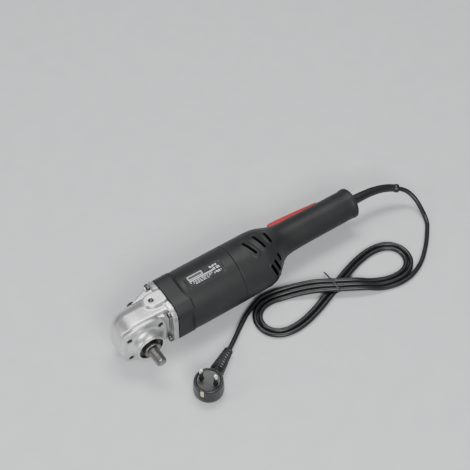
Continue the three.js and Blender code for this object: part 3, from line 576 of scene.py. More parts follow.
MATERIALS = {
    # the cast finish has painted shade in its hollows
    "cast": surface_finish("cast_aluminium", (0.6, 0.6, 0.595), 0.34, 0.95, grain=0.9, bump=0.28, tone=0.12,
                           spread=0.1, worn=(0.9, 0.9, 0.9), edge=(0.51, 0.57), dust=0.03,
                           hollow_shade=(0.1, 0.098, 0.092)),
    "steel": surface_finish("ground_steel", (0.52, 0.52, 0.53), 0.3, 1.0, grain=0.5, bump=0.08, dust=0.05),
    "dark_steel": surface_finish("blackened_steel", (0.1, 0.1, 0.105), 0.38, 0.9, grain=0.6, bump=0.12,
                                 worn=(0.4, 0.4, 0.4), edge=(0.54, 0.64), dust=0.08),
    "housing_plastic": surface_finish("charcoal_nylon", (0.0135, 0.0138, 0.0145), 0.52, grain=0.55, bump=0.2,
                                      tone=0.12, worn=(0.04, 0.041, 0.044), edge=(0.54, 0.66), dust=0.015,
                                      specular=0.4),
    "paddle_plastic": surface_finish("red_nylon", (0.5, 0.012, 0.018), 0.38, grain=0.6, bump=0.1, tone=0.08,
                                     worn=(0.6, 0.06, 0.06), edge=(0.56, 0.7), dust=0.03, coat=0.15),
    "rubber": surface_finish("black_rubber", (0.0085, 0.009, 0.0098), 0.36, grain=0.7, bump=0.1, tone=0.15,
                             worn=(0.03, 0.03, 0.03), edge=(0.58, 0.72), dust=0.0, specular=0.5),
    "tie_plastic": surface_finish("tie_sleeve", (0.02, 0.02, 0.022), 0.42, grain=0.5, bump=0.1, dust=0.03),
    "brass": surface_finish("plated_brass", (0.78, 0.66, 0.42), 0.24, 1.0, grain=0.5, bump=0.06, tone=0.06,
                            dust=0.02),
    "copper": surface_finish("winding_copper", (0.6, 0.25, 0.12), 0.4, 0.9, grain=1.2, bump=0.3, tone=0.2,
                             dust=0.1),
    "lamination": surface_finish("core_lamination", (0.2, 0.21, 0.22), 0.45, 0.8, grain=0.8, bump=0.25,
                                 dust=0.1),
    "carbon": surface_finish("brush_carbon", (0.02, 0.02, 0.02), 0.7, grain=0.6, bump=0.3, dust=0.0),
    "label": surface_finish("label_film", (0.02, 0.021, 0.024), 0.5, grain=0.8, bump=0.03, tone=0.05,
                            dust=0.0, specular=0.25, picture=printed_label),
}


def dress(obj, slot, body="root", stands_for=(), look=None):
    """Gives a piece the material of its slot, or the look given instead, puts it on the body it rides on and
    hides the CAD nodes it stands for.
    """
    obj.data.materials.clear()
    obj.data.materials.append(look or MATERIALS[slot])
    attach(obj, body)
    if stands_for:
        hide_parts(*stands_for)
    return obj


def studio_floor():
    """Level square sheet a hair below the tool, with the faint mottling of painted board."""
    half = 4000.0
    line = np.linspace(-half, half, 9)
    x, y = np.meshgrid(line, line, indexing="ij")
    z = np.full_like(x, REST_Z - 0.15)
    points = np.stack([x, y, z], -1).reshape(-1, 3)
    mesh = bpy.data.meshes.new("studio_floor")
    mesh.from_pydata(to_frame(points).tolist(), [], grid_faces(9, 9, close_columns=False)[:, ::-1].tolist())
    floor = bpy.data.objects.new("studio_floor", mesh)
    bpy.context.scene.collection.objects.link(floor)
    board = surface_finish("pale_board", (0.66, 0.67, 0.68), 0.75, grain=2.0, bump=0.02, tone=0.02, dust=0.0,
                           specular=0.2)
    mesh.materials.append(board)


# ------------------------------------------------------------------ lead, tie, guard and plug

def lead():
    """The whole lead as one line with a round bevel, from the guard's mouth to the plug's strain relief."""
    route = to_frame(cord_route())
    dense = smooth_curve(route)
    length = float(np.linalg.norm(np.diff(dense, axis=0), axis=1).sum())
    curve = bpy.data.curves.new("mains_lead", "CURVE")
    curve.dimensions = "3D"
    curve.bevel_depth = CORD_R * MM
    curve.bevel_resolution = 5
    curve.use_fill_caps = True
    line = curve.splines.new("POLY")
    line.points.add(len(dense) - 1)
    line.points.foreach_set("co", np.hstack([dense, np.ones((len(dense), 1))]).ravel())
    line.use_smooth = True
    cord = bpy.data.objects.new("mains_lead", curve)
    bpy.context.scene.collection.objects.link(cord)
    curve.materials.append(MATERIALS["rubber"])
    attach(cord, "root")
    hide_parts("cord_lead", "cord_hank", "cord_tail")
    return cord, route, length


GUARD_LINE = [
    (289, 9.5, 0), (297, 9.5, 0), (313, 9.6, 0), (330, 9, -0.8), (346, 6.8, -2.4), (360, 2.6, -4.8),
    (370.5, -2.6, -7.5),
]


def cord_guard():
    """Moulded sleeve: radius falls from 8 to 5.4 along its bend, with a root collar, two fine ridges along
    its length and a small flared lip at the mouth, which is hollow for the lead."""
    line = smooth_curve(np.array(GUARD_LINE, float), 16)
    run = np.concatenate([[0], np.cumsum(np.linalg.norm(np.diff(line, axis=0), axis=1))])
    share = run / run[-1]
    stations = [0, 0.1, 0.14, 0.2, 0.5, 0.93, 0.965, 1]
    radii = spline_through(stations, [8, 8, 7.4, 6.9, 6.1, 5.4, 6.1, 5.9], share)
    outer = swept_rings(line, radii, 48)
    turn = np.arange(48) * 2 * math.pi / 48
    ridge = 0.35 * np.exp(-((np.abs((turn + math.pi) % (2 * math.pi) - math.pi) - 1.1) / 0.12) ** 2)
    out = (outer - line[:, None]) / radii[:, None, None]
    fade = (ease(0.15, 0.25, share) * (1 - ease(0.85, 0.93, share)))[:, None, None]
    outer += out * ridge[None, :, None] * fade
    mouth = swept_rings(line[-3:], np.full(3, CORD_R + 0.12), 48)[::-1]
    rings = np.concatenate([outer, mouth[:1], mouth])
    points, faces = tube_surface(rings)
    return dress(new_piece("cord_guard_sleeve", points, faces), "rubber", stands_for=("cord_guard",))


def hank_place(points):
    """Points drawn about the hank's middle (x along it, z above the floor), turned and moved to the hank."""
    c, s = math.cos(HANK["turn"]), math.sin(HANK["turn"])
    x, y, z = points[..., 0], points[..., 1], points[..., 2]
    return np.stack([HANK["x"] + x * c - y * s, HANK["y"] + x * s + y * c, REST_Z + z], -1)


def lead_tie():
    """Flat sleeved wire round the waist: its loop is the outline that touches every strand, and its two ends
    are twisted round each other on the far side."""
    low, high = CORD_R + TIE_LIFT, CORD_R + TIE_LIFT + OVER
    strands = np.array([(-3.9, low), (3.9, low), (-7.8, high), (0, high), (7.8, high)])
    turn = np.arange(144) * 2 * math.pi / 144
    out = np.stack([np.cos(turn), np.sin(turn)], -1)
    nearest = strands[np.argmax(out @ strands.T, axis=1)]
    loop = nearest + out * np.array([4.35, CORD_R + 0.42])
    section = np.arange(12) * 2 * math.pi / 12
    wide, thick = 1.35 * np.sign(np.cos(section)) * np.abs(np.cos(section)) ** 0.6, 0.38 * np.sin(section)
    x = np.broadcast_to(wide, (144, 12))
    yz = loop[:, None] + out[:, None] * thick[None, :, None]
    band_points, band_faces = tube_surface(np.concatenate([x[..., None], yz], -1), closed=True)
    band_piece = new_piece("tie_band", hank_place(band_points), band_faces)
    twist = []
    t = np.linspace(0, 1, 60)
    for phase in (0, math.pi):
        turns = phase + t * 7 * math.pi
        line = np.stack([0.62 * np.cos(turns) + 1.5 * t, 12 + 15 * t,
                         high + 0.62 * np.sin(turns) - 5.5 * t**1.5], -1)
        twist.append(placed_piece("tie_twist", swept_rings(line, np.full(60, 0.58), 10), hank_place))
    return dress(merged("lead_tie", [band_piece, *twist]), "tie_plastic", stands_for=("cord_tie",))


def plug_place(points):
    """Points drawn about the plug's own axis with the relief along +X, turned and moved to the plug."""
    c, s = math.cos(PLUG_TURN), math.sin(PLUG_TURN)
    x, y, z = points[..., 0], points[..., 1], points[..., 2]
    return np.stack([PLUG_X + x * c - y * s, PLUG_Y + x * s + y * c, REST_Z + z], -1)


PIN_SPREAD = 9.5  # from the plug's axis to each pin's
RELIEF_LINE = [(23.9, 0, 11.65), (31, 0, 11.1), (38, 0, 10.2), (45, 0, 9.5), (52, 0, 8.6), (60, 0, 6.9)]


def plug():
    """Round moulded plug: a turned body with a sunken face and grip flutes, a neck, a ribbed relief, two
    sleeved pins with bright tips, and the earth clip in its notch."""
    profile = rounded([(0.01, 0), (15.5, 0), (18.6, 3), (19.5, 8), (18.9, 20), (18.3, 24.5), (17.4, 26),
                       (15.6, 26), (14.9, 24.4), (0.01, 24.4)], 1.2, 6)
    profile[0, 0] = profile[-1, 0] = 0.4
    rings = lathe_rings(profile, "z", (0, 0, 0), 144)
    turn = np.arange(144) * 2 * math.pi / 144
    height = rings[..., 2]
    flute = 0.28 * (0.5 + 0.5 * np.cos(36 * turn))[None, :] * ease(5, 7, height) * (1 - ease(20, 22, height))
    flute = flute * (np.abs(np.linalg.norm(rings[..., :2], axis=-1)) > 17.5)
    scale = 1 - flute / np.maximum(np.linalg.norm(rings[..., :2], axis=-1), 1)
    rings[..., :2] *= scale[..., None]
    body = placed_piece("plug_shell", rings, plug_place)
    neck_line = smooth_curve(np.array([(8, 0, 12), (14, 0, 12), (19, 0, 12), (23.7, 0, 11.7)], float), 8)
    neck_share = np.linspace(0, 1, len(neck_line))
    neck = swept_rings(neck_line, 10.0 - 0.6 * ease(0.5, 1, neck_share), 48)
    neck = placed_piece("plug_neck", neck, plug_place)
    cutters = []
    pin_hole = rounded([(0.05, 14), (2.75, 14), (2.75, 23.9), (3.4, 24.6), (3.4, 30), (0.05, 30)], 0.3)
    for side in (1, -1):
        hole = lathe_rings(pin_hole, "z", (0, PIN_SPREAD * side, 0), 32)
        cutters.append(placed_piece("pin_hole", hole, plug_place))
    notch = box_corners(-23, -16.9, -2.7, 2.7, 14, 40)
    cutters.append(new_piece("clip_notch", plug_place(notch), [BOX_FACES]))
    cut_away(body, [neck], operation="UNION")
    cut_away(body, cutters)
    dress(body, "rubber", stands_for=("plug_body",))

    line = smooth_curve(np.array(RELIEF_LINE, float), 26)
    share = np.linspace(0, 1, len(line))
    ribs = 0.5 - 0.5 * np.cos(share * 2 * math.pi * 8.5)
    radii = 9.6 - 3.7 * share - 1.5 * ribs * ease(0.02, 0.1, share) * (1 - ease(0.92, 0.98, share))
    radii = radii - 1.2 * ease(0.965, 1, share)
    rings = swept_rings(line, radii, 48)
    hole = swept_rings(line[-4:], np.full(4, CORD_R + 0.1), 48)[::-1]
    relief = placed_piece("plug_relief_boot", np.concatenate([rings, hole]), plug_place)
    dress(relief, "rubber", stands_for=("plug_relief",))

    pin = rounded([(0.05, 14.3), (2.4, 14.3), (2.4, 41.5), (1.2, 43.6), (0.05, 43.6)], 0.7, 6)
    for number, side in ((1, 1), (2, -1)):
        rings = lathe_rings(pin, "z", (0, PIN_SPREAD * side, 0), 40)
        dress(placed_piece(f"mains_pin_{number}", rings, plug_place), "brass",
              stands_for=(f"plug_pin_{number}",), look=PIN_LOOK)
    outline = rounded([(-18.55, 14.4), (-18.6, 24.2), (-17.9, 26), (-17.3, 24.2), (-17.35, 14.4)], 0.6, 4)
    strip = np.stack([np.stack([outline[:, 0], np.full(len(outline), y), outline[:, 1]], -1)
                      for y in (-2.2, -2.0, 2.0, 2.2)])
    dress(placed_piece("earth_clip", strip, plug_place), "brass", stands_for=("plug_earth_clip",))
    return body


SLEEVE_TOP, SLEEVE_EDGE = 0.0368, 0.0001  # height of the pins' sleeves in metres, and how soft their edge is


def height_above(tree):
    return node(tree, "SeparateXYZ", {"Vector": node(tree, "TexCoord").outputs["Object"]}).outputs["Z"]


def sleeved_pin_look():
    """Black sleeve on the lower half of a pin and bright plating above it, split by height."""
    def sleeve(tree, ground):
        bright = band(tree, height_above(tree), SLEEVE_TOP - SLEEVE_EDGE, SLEEVE_TOP + SLEEVE_EDGE)
        return mix_colour(tree, bright, colour(0.02, 0.02, 0.02), ground)

    material = surface_finish("sleeved_pin", (0.86, 0.8, 0.66), 0.22, 1.0, grain=0.5, bump=0.05, tone=0.05,
                              dust=0.02, picture=sleeve)
    tree = material.node_tree
    shader = tree.nodes["Principled BSDF"]
    metal = band(tree, height_above(tree), SLEEVE_TOP - SLEEVE_EDGE, SLEEVE_TOP + SLEEVE_EDGE)
    tree.links.new(metal, shader.inputs["Metallic"])
    return material


PIN_LOOK = sleeved_pin_look()


# ------------------------------------------------------------------ gear head

def super_radius(half, turn, power):
    """Radius of a superellipse at an angle: h / (|cos|^p + |sin|^p)^(1/p)."""
    return half / (np.abs(np.cos(turn)) ** power + np.abs(np.sin(turn)) ** power) ** (1 / power)


def case_ring(y, nose_r, back_half, count=72):
    """Plan of the gear case at a height: a blunt nose about the spindle, straight flanks to the flange."""
    turn = np.radians(np.linspace(90, 270, count))
    radius = super_radius(nose_r, turn, NOSE_POWER)
    arc = np.stack([SPINDLE_X + radius * np.cos(turn), np.full(count, y), radius * np.sin(turn)], -1)
    back = np.array([[-3.5, y, -back_half], [-3.5, y, back_half]])
    return np.vstack([arc, back])


def square_ring(x, half, power, count=128, cy=0.0):
    """Superellipse across X."""
    turn = np.arange(count) * 2 * math.pi / count
    radius = super_radius(half, turn, power)
    return np.stack([np.full(count, x), cy + radius * np.cos(turn), radius * np.sin(turn)], -1)


def gear_case():
    """Cast case: a body lofted over its height, a square flange, side-handle bosses that run back into the
    flange, corner lobes and webs behind the flange; bores and the sloped back are cut, and the whole is
    remeshed and smoothed so that every inner and outer corner has a cast radius."""
    levels = np.array([-20, -18.5, -16, -10, 0, 4, 7, 10, 13, 15.5, 17, 18.7, 20])
    known = [-20, -18.5, -16, 0, 7, 13, 17, 20]
    nose = spline_through(known, [33.2, 33.9, 34, 33.6, 31.2, 26.5, 21, 15], levels)
    back = spline_through(known, [30.5, 31.2, 31.5, 31.5, 30, 27.5, 25, 21], levels)
    body = tube_surface(np.stack([case_ring(*row) for row in zip(levels, nose, back)]))
    parts = [new_piece("body", *body)]
    flange_x = [-7, -6.4, -0.6, 0]
    flange = np.stack([square_ring(x, 33 - inset, 4.9) for x, inset in zip(flange_x, (0.6, 0, 0, 0.5))])
    parts.append(new_piece("flange", *tube_surface(flange)))
    for side in (1, -1):
        profile = rounded([(0.05, 18), (12.6, 18), (11.6, 32), (10.9, 34.8), (9.6, 36.5), (0.05, 36.5)], 1.0)
        profile[:, 1] *= side
        boss = lathe_rings(profile, "z", (-19, 0, 0), 64)
        boss[..., 0] = np.minimum(boss[..., 0] + np.where(boss[..., 0] > -19, 12.0, 0.0), -1.0)
        parts.append(new_piece("boss", *tube_surface(boss)))
        for y in (25.5, -25.5):
            lobe = lathe_rings(rounded([(0.05, -12.5), (5.2, -12.5), (6.0, -3), (0.05, -3)], 1.2), "x",
                               (0, y, 24.8 * side), 40)
            if y > 0:
                parts.append(new_piece("lobe", *tube_surface(lobe)))
        web = [(-26, -19.5), (-5, -19.5), (-5, -30)]
        parts.append(web_piece(web, 27.0 * side, 1.6))
        parts.append(web_piece([(-40, 14), (-5, 29), (-5, 14)], 25.5 * side, 1.7))
    case = merged("gear_case_casting", parts)
    back_slope = [(-95, 4.2), (-62, 11), (-29, 19), (-13.5, 21), (-13.5, 60), (-95, 60)]
    cutters = [prism_piece(back_slope, -21, 21)]
    bores = [
        (25.8, -26, -2.5, "y", (SPINDLE_X, 0, 0)), (9.8, SPINDLE_X, -9.4, "x", (0, 0, 0)),
        (15.4, -9.6, 4, "x", (0, 0, 0)), (7.4, -3, 9, "y", (SPINDLE_X, 0, 0)),
        (2.8, -3, 13, "y", (LOCK_X, 0, LOCK_Z)), (6.5, 12, 30, "y", (LOCK_X, 0, LOCK_Z)),
        (3.3, 22, 40, "z", (-19, 0, 0)), (3.3, -40, -22, "z", (-19, 0, 0)),
    ]
    bores += [(4.6, -14.5, -7.2, "x", (0, y, z)) for y, z in CASE_SCREWS]
    cutters += [rod(radius, start, end, axis, centre) for radius, start, end, axis, centre in bores]
    cut_away(case, cutters, overlap=True)
    remesh = case.modifiers.new("cast_skin", "REMESH")
    remesh.mode = "VOXEL"
    remesh.voxel_size = 0.75 * MM
    soften = case.modifiers.new("cast_radii", "SMOOTH")
    soften.factor, soften.iterations = 0.5, 5
    settle(case, 80)
    return dress(case, "cast", stands_for=("gear_case",))


def prism_piece(outline, z0, z1):
    """Flat outline in X and Y carried from one height to another; its two end faces are one face each."""
    flat = np.asarray(outline, float)
    n = len(flat)
    points = np.vstack([np.c_[flat, np.full(n, z0)], np.c_[flat, np.full(n, z1)]])
    i = np.arange(n)
    sides = np.stack([i, (i + 1) % n, (i + 1) % n + n, i + n], -1)
    return new_piece("prism", points, [sides, i[None, ::-1], (i + n)[None]])


def web_piece(outline, z, half):
    return prism_piece(outline, z - half, z + half)


def bearing_cover():
    """Cover: plate with the blunt plan of the case, swept round skirt, rolled collar lip and bearing seat.
    The rings are pushed out to the superellipse where they reach the plate, and screw seats are sunk in."""
    profile = rounded([
        (16.3, -20.3), (33.2, -20.3), (33.2, -24.6), (31.8, -26), (25.6, -26.5), (22.3, -28.4), (20.3, -31.5),
        (19, -35), (18.9, -37.2), (19.3, -38.2), (18.9, -39.7), (16.9, -39.7), (16.4, -37.6), (16.3, -35.9),
        (11.5, -35.9), (11.5, -34.3), (16.3, -34.3), (16.3, -20.3),
    ], 0.9, 5)
    rings = lathe_rings(profile[:-1], "y", (SPINDLE_X, 0, 0), 160)
    dx, dz = rings[..., 0] - SPINDLE_X, rings[..., 2]
    turn, away = np.arctan2(dz, dx), np.hypot(dx, dz)
    plate = ease(27, 31.4, away)
    grow = 1 + plate * (super_radius(1.0, turn, NOSE_POWER) - 1)
    shrink = np.where(dx > 0, 1 - plate * (1 - COVER_BACK / COVER_R), 1.0)
    rings[..., 0], rings[..., 2] = SPINDLE_X + dx * grow * shrink, dz * grow
    cover = new_piece("bearing_cover_casting", *tube_surface(rings, closed=True), 40)
    seats = [lathe("seat", [(3.9, -32), (3.9, -23), (2.3, -22.9), (2.3, -19)], "y", (x, 0, z), 40)
             for x, z in COVER_SCREWS]
    cut_away(cover, seats)
    edges = cover.modifiers.new("cast_edges", "BEVEL")
    edges.width, edges.segments, edges.limit_method = 0.25 * MM, 2, "ANGLE"
    edges.angle_limit = math.radians(50)
    settle(cover, 40)
    return dress(cover, "cast", stands_for=("bearing_cover",), look=COVER_LOOK)


# cover finish: painted shade in its hollows and inside the collar's mouth
COVER_LOOK = surface_finish("cover_casting", (0.62, 0.62, 0.615), 0.33, 0.95, grain=0.9, bump=0.24, tone=0.1,
                            spread=0.1, worn=(0.92, 0.92, 0.92), edge=(0.51, 0.57), dust=0.03,
                            hollow_shade=(0.1, 0.098, 0.092), picture=collar_mouth_shade)


def socket_screw(name, head_r, head_h, shank_r, length, place, axis):
    """Socket-head screw: a chamfered head with a hexagonal hole, and a shank with fine thread grooves. Each
    ring is a circle, or a hexagon of radius a / cos(angle to the nearest flat)."""
    steps = 48
    turn = np.arange(steps) * 2 * math.pi / steps
    hexagon = 0.52 * head_r / np.cos((turn % (math.pi / 3)) - math.pi / 6)
    circle = np.ones(steps)
    thread = np.arange(0, length * 0.75, 0.35)
    rows = [(0.05 * circle, -head_h * 0.38), (hexagon * 0.96, -head_h * 0.38), (hexagon, -head_h * 0.42),
            (hexagon, -head_h * 0.97), (hexagon * 1.08, -head_h), ((head_r - 0.35) * circle, -head_h),
            ((head_r - 0.1) * circle, -head_h + 0.1), (head_r * circle, -head_h + 0.4),
            (head_r * circle, -0.15), ((head_r - 0.15) * circle, 0), (shank_r * circle, 0)]
    rows += [((shank_r - 0.13 * (k % 2)) * circle, length * 0.22 + at) for k, at in enumerate(thread)]
    rows += [((shank_r - 0.4) * circle, length), (0.05 * circle, length)]
    rings = np.stack([np.stack([r * np.cos(turn), np.full(steps, h), r * np.sin(turn)], -1) for r, h in rows])
    points, faces = tube_surface(rings[..., list(AXIS_ORDER[axis])] + np.asarray(place, float))
    return new_piece(name, points, faces, 40)


def screws():
    for i, (x, z) in enumerate(COVER_SCREWS, 1):
        dress(socket_screw(f"cover_bolt_{i}", 3.6, 2.8, 2.0, 14, (x, -23.3, z), "y"), "dark_steel",
              stands_for=(f"cover_screw_{i}",))
    for i, (y, z) in enumerate(CASE_SCREWS, 1):
        dress(socket_screw(f"case_bolt_{i}", 4.0, 3.4, 2.0, 24, (-7.3, y, z), "x"), "dark_steel",
              stands_for=(f"case_screw_{i}",))
    for i, (x, y) in enumerate(SHELL_SCREWS, 1):
        dress(socket_screw(f"shell_bolt_{i}", 3.3, 2.6, 1.6, 19, (x, y, -11.4), "z"), "dark_steel",
              stands_for=(f"shell_screw_{i}",))


def spindle():
    """Turned spindle with two spanner flats on its shoulder and an M14 thread: on the threaded length the
    radius falls by the thread's depth in a triangle wave that climbs one pitch in each turn."""
    steps = 120
    upper = rounded([(0.05, 8.2), (4.4, 8.2), (5, 7.4), (5, -2.6), (6, -3.6), (6, -36.2), (11, -36.2),
                     (11, -43), (6.9, -43)], 0.35, 4)
    thread_y = np.arange(-43.4, -63.05, -0.16)
    lower = np.c_[np.full(len(thread_y), 7.0), thread_y]
    tip = np.array([(6.4, -63.5), (5.6, -64.3), (5.0, -64.4), (0.05, -64.4)])
    profile = np.vstack([upper, lower, tip])
    turn = np.arange(steps) * 2 * math.pi / steps
    radius, height = profile[:, :1] + 0 * turn, profile[:, 1:] + 0 * turn
    phase = (height / 2.0 + turn / (2 * math.pi)) % 1
    groove = np.clip(1.35 * (1 - np.abs(2 * phase - 1)) - 0.12, 0, 1)
    on_thread = (1 - ease(-45.2, -44.2, height)) * ease(-63.8, -62.6, height)
    radius = radius - 1.05 * groove * on_thread * (radius > 6)
    z = radius * np.sin(turn)
    flat = (height < -37.4) & (height > -42.1) & (radius > 9)
    z = np.where(flat, np.clip(z, -8.5, 8.5), z)
    rings = np.stack([SPINDLE_X + radius * np.cos(turn), height, z], -1)
    obj = new_piece("output_spindle", *tube_surface(rings), 50)
    return dress(obj, "dark_steel", "spindle_unit", ("spindle",), look=SPINDLE_LOOK)


SPINDLE_LOOK = surface_finish("oiled_spindle_steel", (0.2, 0.195, 0.19), 0.34, 0.95, grain=0.5, bump=0.1,
                              tone=0.2, worn=(0.5, 0.49, 0.47), edge=(0.53, 0.6), dust=0.02)


def lock_button():
    """Stepped push button: stem, round cap with a dished top and finely ribbed rim."""
    profile = rounded([(0.05, -3.6), (2.5, -3.6), (2.5, 18.9), (6, 19), (6, 22.8), (5.2, 23.6), (4.4, 23.4),
                       (2.5, 23.0), (0.05, 22.9)], 0.5, 5)
    rings = lathe_rings(profile, "y", (LOCK_X, 0, LOCK_Z), 96)
    turn = np.arange(96) * 2 * math.pi / 96
    rim = ease(5.6, 5.9, profile[:, 0])[:, None]
    notch = 1 - 0.03 * (0.5 + 0.5 * np.cos(24 * turn))[None, :] * rim
    centre = np.array([LOCK_X, LOCK_Z])
    rings[..., [0, 2]] = centre + (rings[..., [0, 2]] - centre) * notch[..., None]
    return dress(new_piece("lock_button_cap", *tube_surface(rings)), "housing_plastic", "lock_button",
                 ("spindle_lock_button",))


# ------------------------------------------------------------------ motor housing and rear shells

def motor_housing():
    """Moulded sleeve. Round the axis its outside is the larger of a square with rounded corners, which fades
    out between x = 23 and 29, and a round flare that steps up at x = 20 and grows to the full radius; the
    label's flat and the rest flat are planes blended in. The inside is a bore, and both meet in end faces."""
    columns = 400
    turn = np.arange(columns) * 2 * math.pi / columns  # angle from +Y toward +Z
    x = np.concatenate([[0.3, 0.5, 0.9], np.arange(1.6, 18, 1.2), np.arange(18, 36, 0.45),
                        np.arange(36, 97, 0.75), [97.3, 97.7, 97.9, 98.0]])
    c, s = np.cos(turn), np.sin(turn)
    square = np.minimum(super_radius(34.0, turn, 4.4), 40.2)
    gate = 1 - 0.16 * ease(23, 29, x)
    flare = spline_through([0, 18, 20.0, 20.9, 22.4, 27, 34, 42, 98],
                           [31, 32, 34.0, 37.2, 38.8, 39.2, HOUSING_R - 0.1, HOUSING_R, HOUSING_R], x)
    a, b = square[None, :] * gate[:, None], np.broadcast_to(flare[:, None], (len(x), columns))
    blend = 0.3
    outer = np.where(x[:, None] < 18.9, a, 0.5 * (a + b + np.sqrt((a - b) ** 2 + blend**2)))
    edge = 0.5 * (1 - ease(0.3, 0.9, x)) + 0.45 * ease(97.4, 98.0, x)
    outer = np.minimum(outer - edge[:, None], 41.6)
    outer = np.where(x[:, None] > 25, np.minimum(outer, HOUSING_R - edge[:, None]), outer)
    y, z = outer * c, outer * s
    lt_y, lt_z = -math.sin(LABEL_TURN), math.cos(LABEL_TURN)
    high = y * lt_y + z * lt_z
    aside = y * lt_z - z * lt_y
    window = ease(28, 31, x)[:, None] * (1 - ease(81, 84, x))[:, None] * (1 - ease(9.6, 12.5, np.abs(aside)))
    drop = np.clip(high - 38.32, 0, 2) * window * (z > 0)
    y, z = y - drop * lt_y, z - drop * lt_z
    z = np.maximum(z, REST_Z)
    outside = np.stack([np.broadcast_to(x[:, None], y.shape), y, z], -1)
    xi = np.array([98.0, 97.0, 80, 60, 40, 26.3, 25.7, 15, 1.0, 0.3])
    ri = np.array([36.3, 36.3, 36.3, 36.3, 36.3, 36.3, 31.5, 31.5, 31.5, 31.5])
    inside = np.stack([xi[:, None] + 0 * turn, ri[:, None] * c, ri[:, None] * s], -1)
    points, faces = tube_surface(np.concatenate([outside, inside]), closed=True)
    housing = new_piece("motor_sleeve", points, faces, 38)
    return dress(housing, "housing_plastic", stands_for=("motor_housing",))


def rating_label():
    """Thin plate with rounded corners and a softened rim, lying in the flat of the housing and turned 8
    degrees about X. Its outline is a rounded rectangle, drawn in towards the middle on the top face."""
    steps = 20
    corner = np.concatenate([np.radians(np.linspace(90 * k, 90 * k + 90, steps)) for k in range(4)])
    sx = np.repeat([1, -1, -1, 1], steps)
    sy = np.repeat([1, 1, -1, -1], steps)

    def ring(inset, height):
        u = 56 + sx * 22.2 + (1.8 - inset) * np.cos(corner)
        v = sy * 6.6 + (1.8 - inset) * np.sin(corner)
        return np.stack([u, v * math.cos(LABEL_TURN) + height * -math.sin(LABEL_TURN),
                         v * math.sin(LABEL_TURN) + height * math.cos(LABEL_TURN)], -1)

    rings = np.stack([ring(0, 38.6), ring(0, 38.85), ring(0.12, 38.97), ring(0.35, 39.0)])
    plate = new_piece("rating_plate", *tube_surface(rings))
    return dress(plate, "label", stands_for=("rating_label",))


REAR = np.array([
    [98.3, 0, 39.5], [138, 0.5, 39], [148, 1.4, 37.6], [156, 3, 34.6], [164, 5.4, 30], [172, 7.8, 25.4],
    [181, 9, 22.4], [196, 9.5, 21.1], [240, 9.5, 20.5], [284, 9.5, 20.5], [290, 9.5, 20.9],
    [291.5, 9.5, 21.3], [295.6, 9.5, 21.3], [297, 9.5, 19.9],
])
END_WALL_X = 289.5
SLOTS = [(125, -3, 20, 24, 0), (141, -1, 13, 23, 0), (155.5, 1, 3, 17, 0),
         (143.5, -1, 18, 23, 68), (150, -1, 18, 21, 62), (157, -1, 12, 12, 48)]
SLOT_HALF = 2.0


def slot_ends(slot, side):
    """The two ends of a slot's middle line on a plane outside the shell, and that plane's direction."""
    x, y, slant, length, face = slot
    lean, tilt = math.radians(slant), math.radians(face)
    half = length / 2 - SLOT_HALF
    flat = np.array([[x + k * half * math.sin(lean) * -1, y + k * half * math.cos(lean)] for k in (-1, 1)])
    ends = np.stack([flat[:, 0], flat[:, 1] * math.cos(tilt), flat[:, 1] * math.sin(tilt)], -1)
    out = np.array([0, -math.sin(tilt), math.cos(tilt)])
    if side < 0:
        ends[:, 2] *= -1
        out[2] *= -1
    return ends, out


def slot_distance(x, y, z, side, facing=None):
    """Distance of surface points from the nearest slot's middle line, seen along that slot's direction."""
    best = np.full(x.shape, 1e3)
    for slot in SLOTS:
        if facing is not None and (slot[4] == 0) != facing:
            continue
        (a, b), out = slot_ends(slot, side)
        p = np.stack([x, y, z], -1)
        flat = p - (p @ out)[..., None] * out
        a2, b2 = a - (a @ out) * out, b - (b @ out) * out
        d = b2 - a2
        t = np.clip(((flat - a2) @ d) / (d @ d), 0, 1)
        gap = np.linalg.norm(flat - a2 - t[..., None] * d, axis=-1)
        gap = np.where(p @ out > 8, gap, 1e3)
        best = np.minimum(best, gap)
    return best


def slot_cutter(slot, side):
    """Long slot with round ends: a stadium outline carried outwards along the slot's direction."""
    (a, b), out = slot_ends(slot, side)
    along = (b - a) / np.linalg.norm(b - a)
    across = np.cross(out, along)
    turn = np.concatenate([np.linspace(-90, 90, 13), np.linspace(90, 270, 13)])
    c, s = np.cos(np.radians(turn)), np.sin(np.radians(turn))
    middle = np.repeat([b, a], 13, axis=0)
    outline = middle + SLOT_HALF * (c[:, None] * along + s[:, None] * across)
    rings = np.stack([outline + out * (h - outline @ out)[:, None] for h in (24.0, 60.0)])
    return new_piece("slot", *tube_surface(rings))


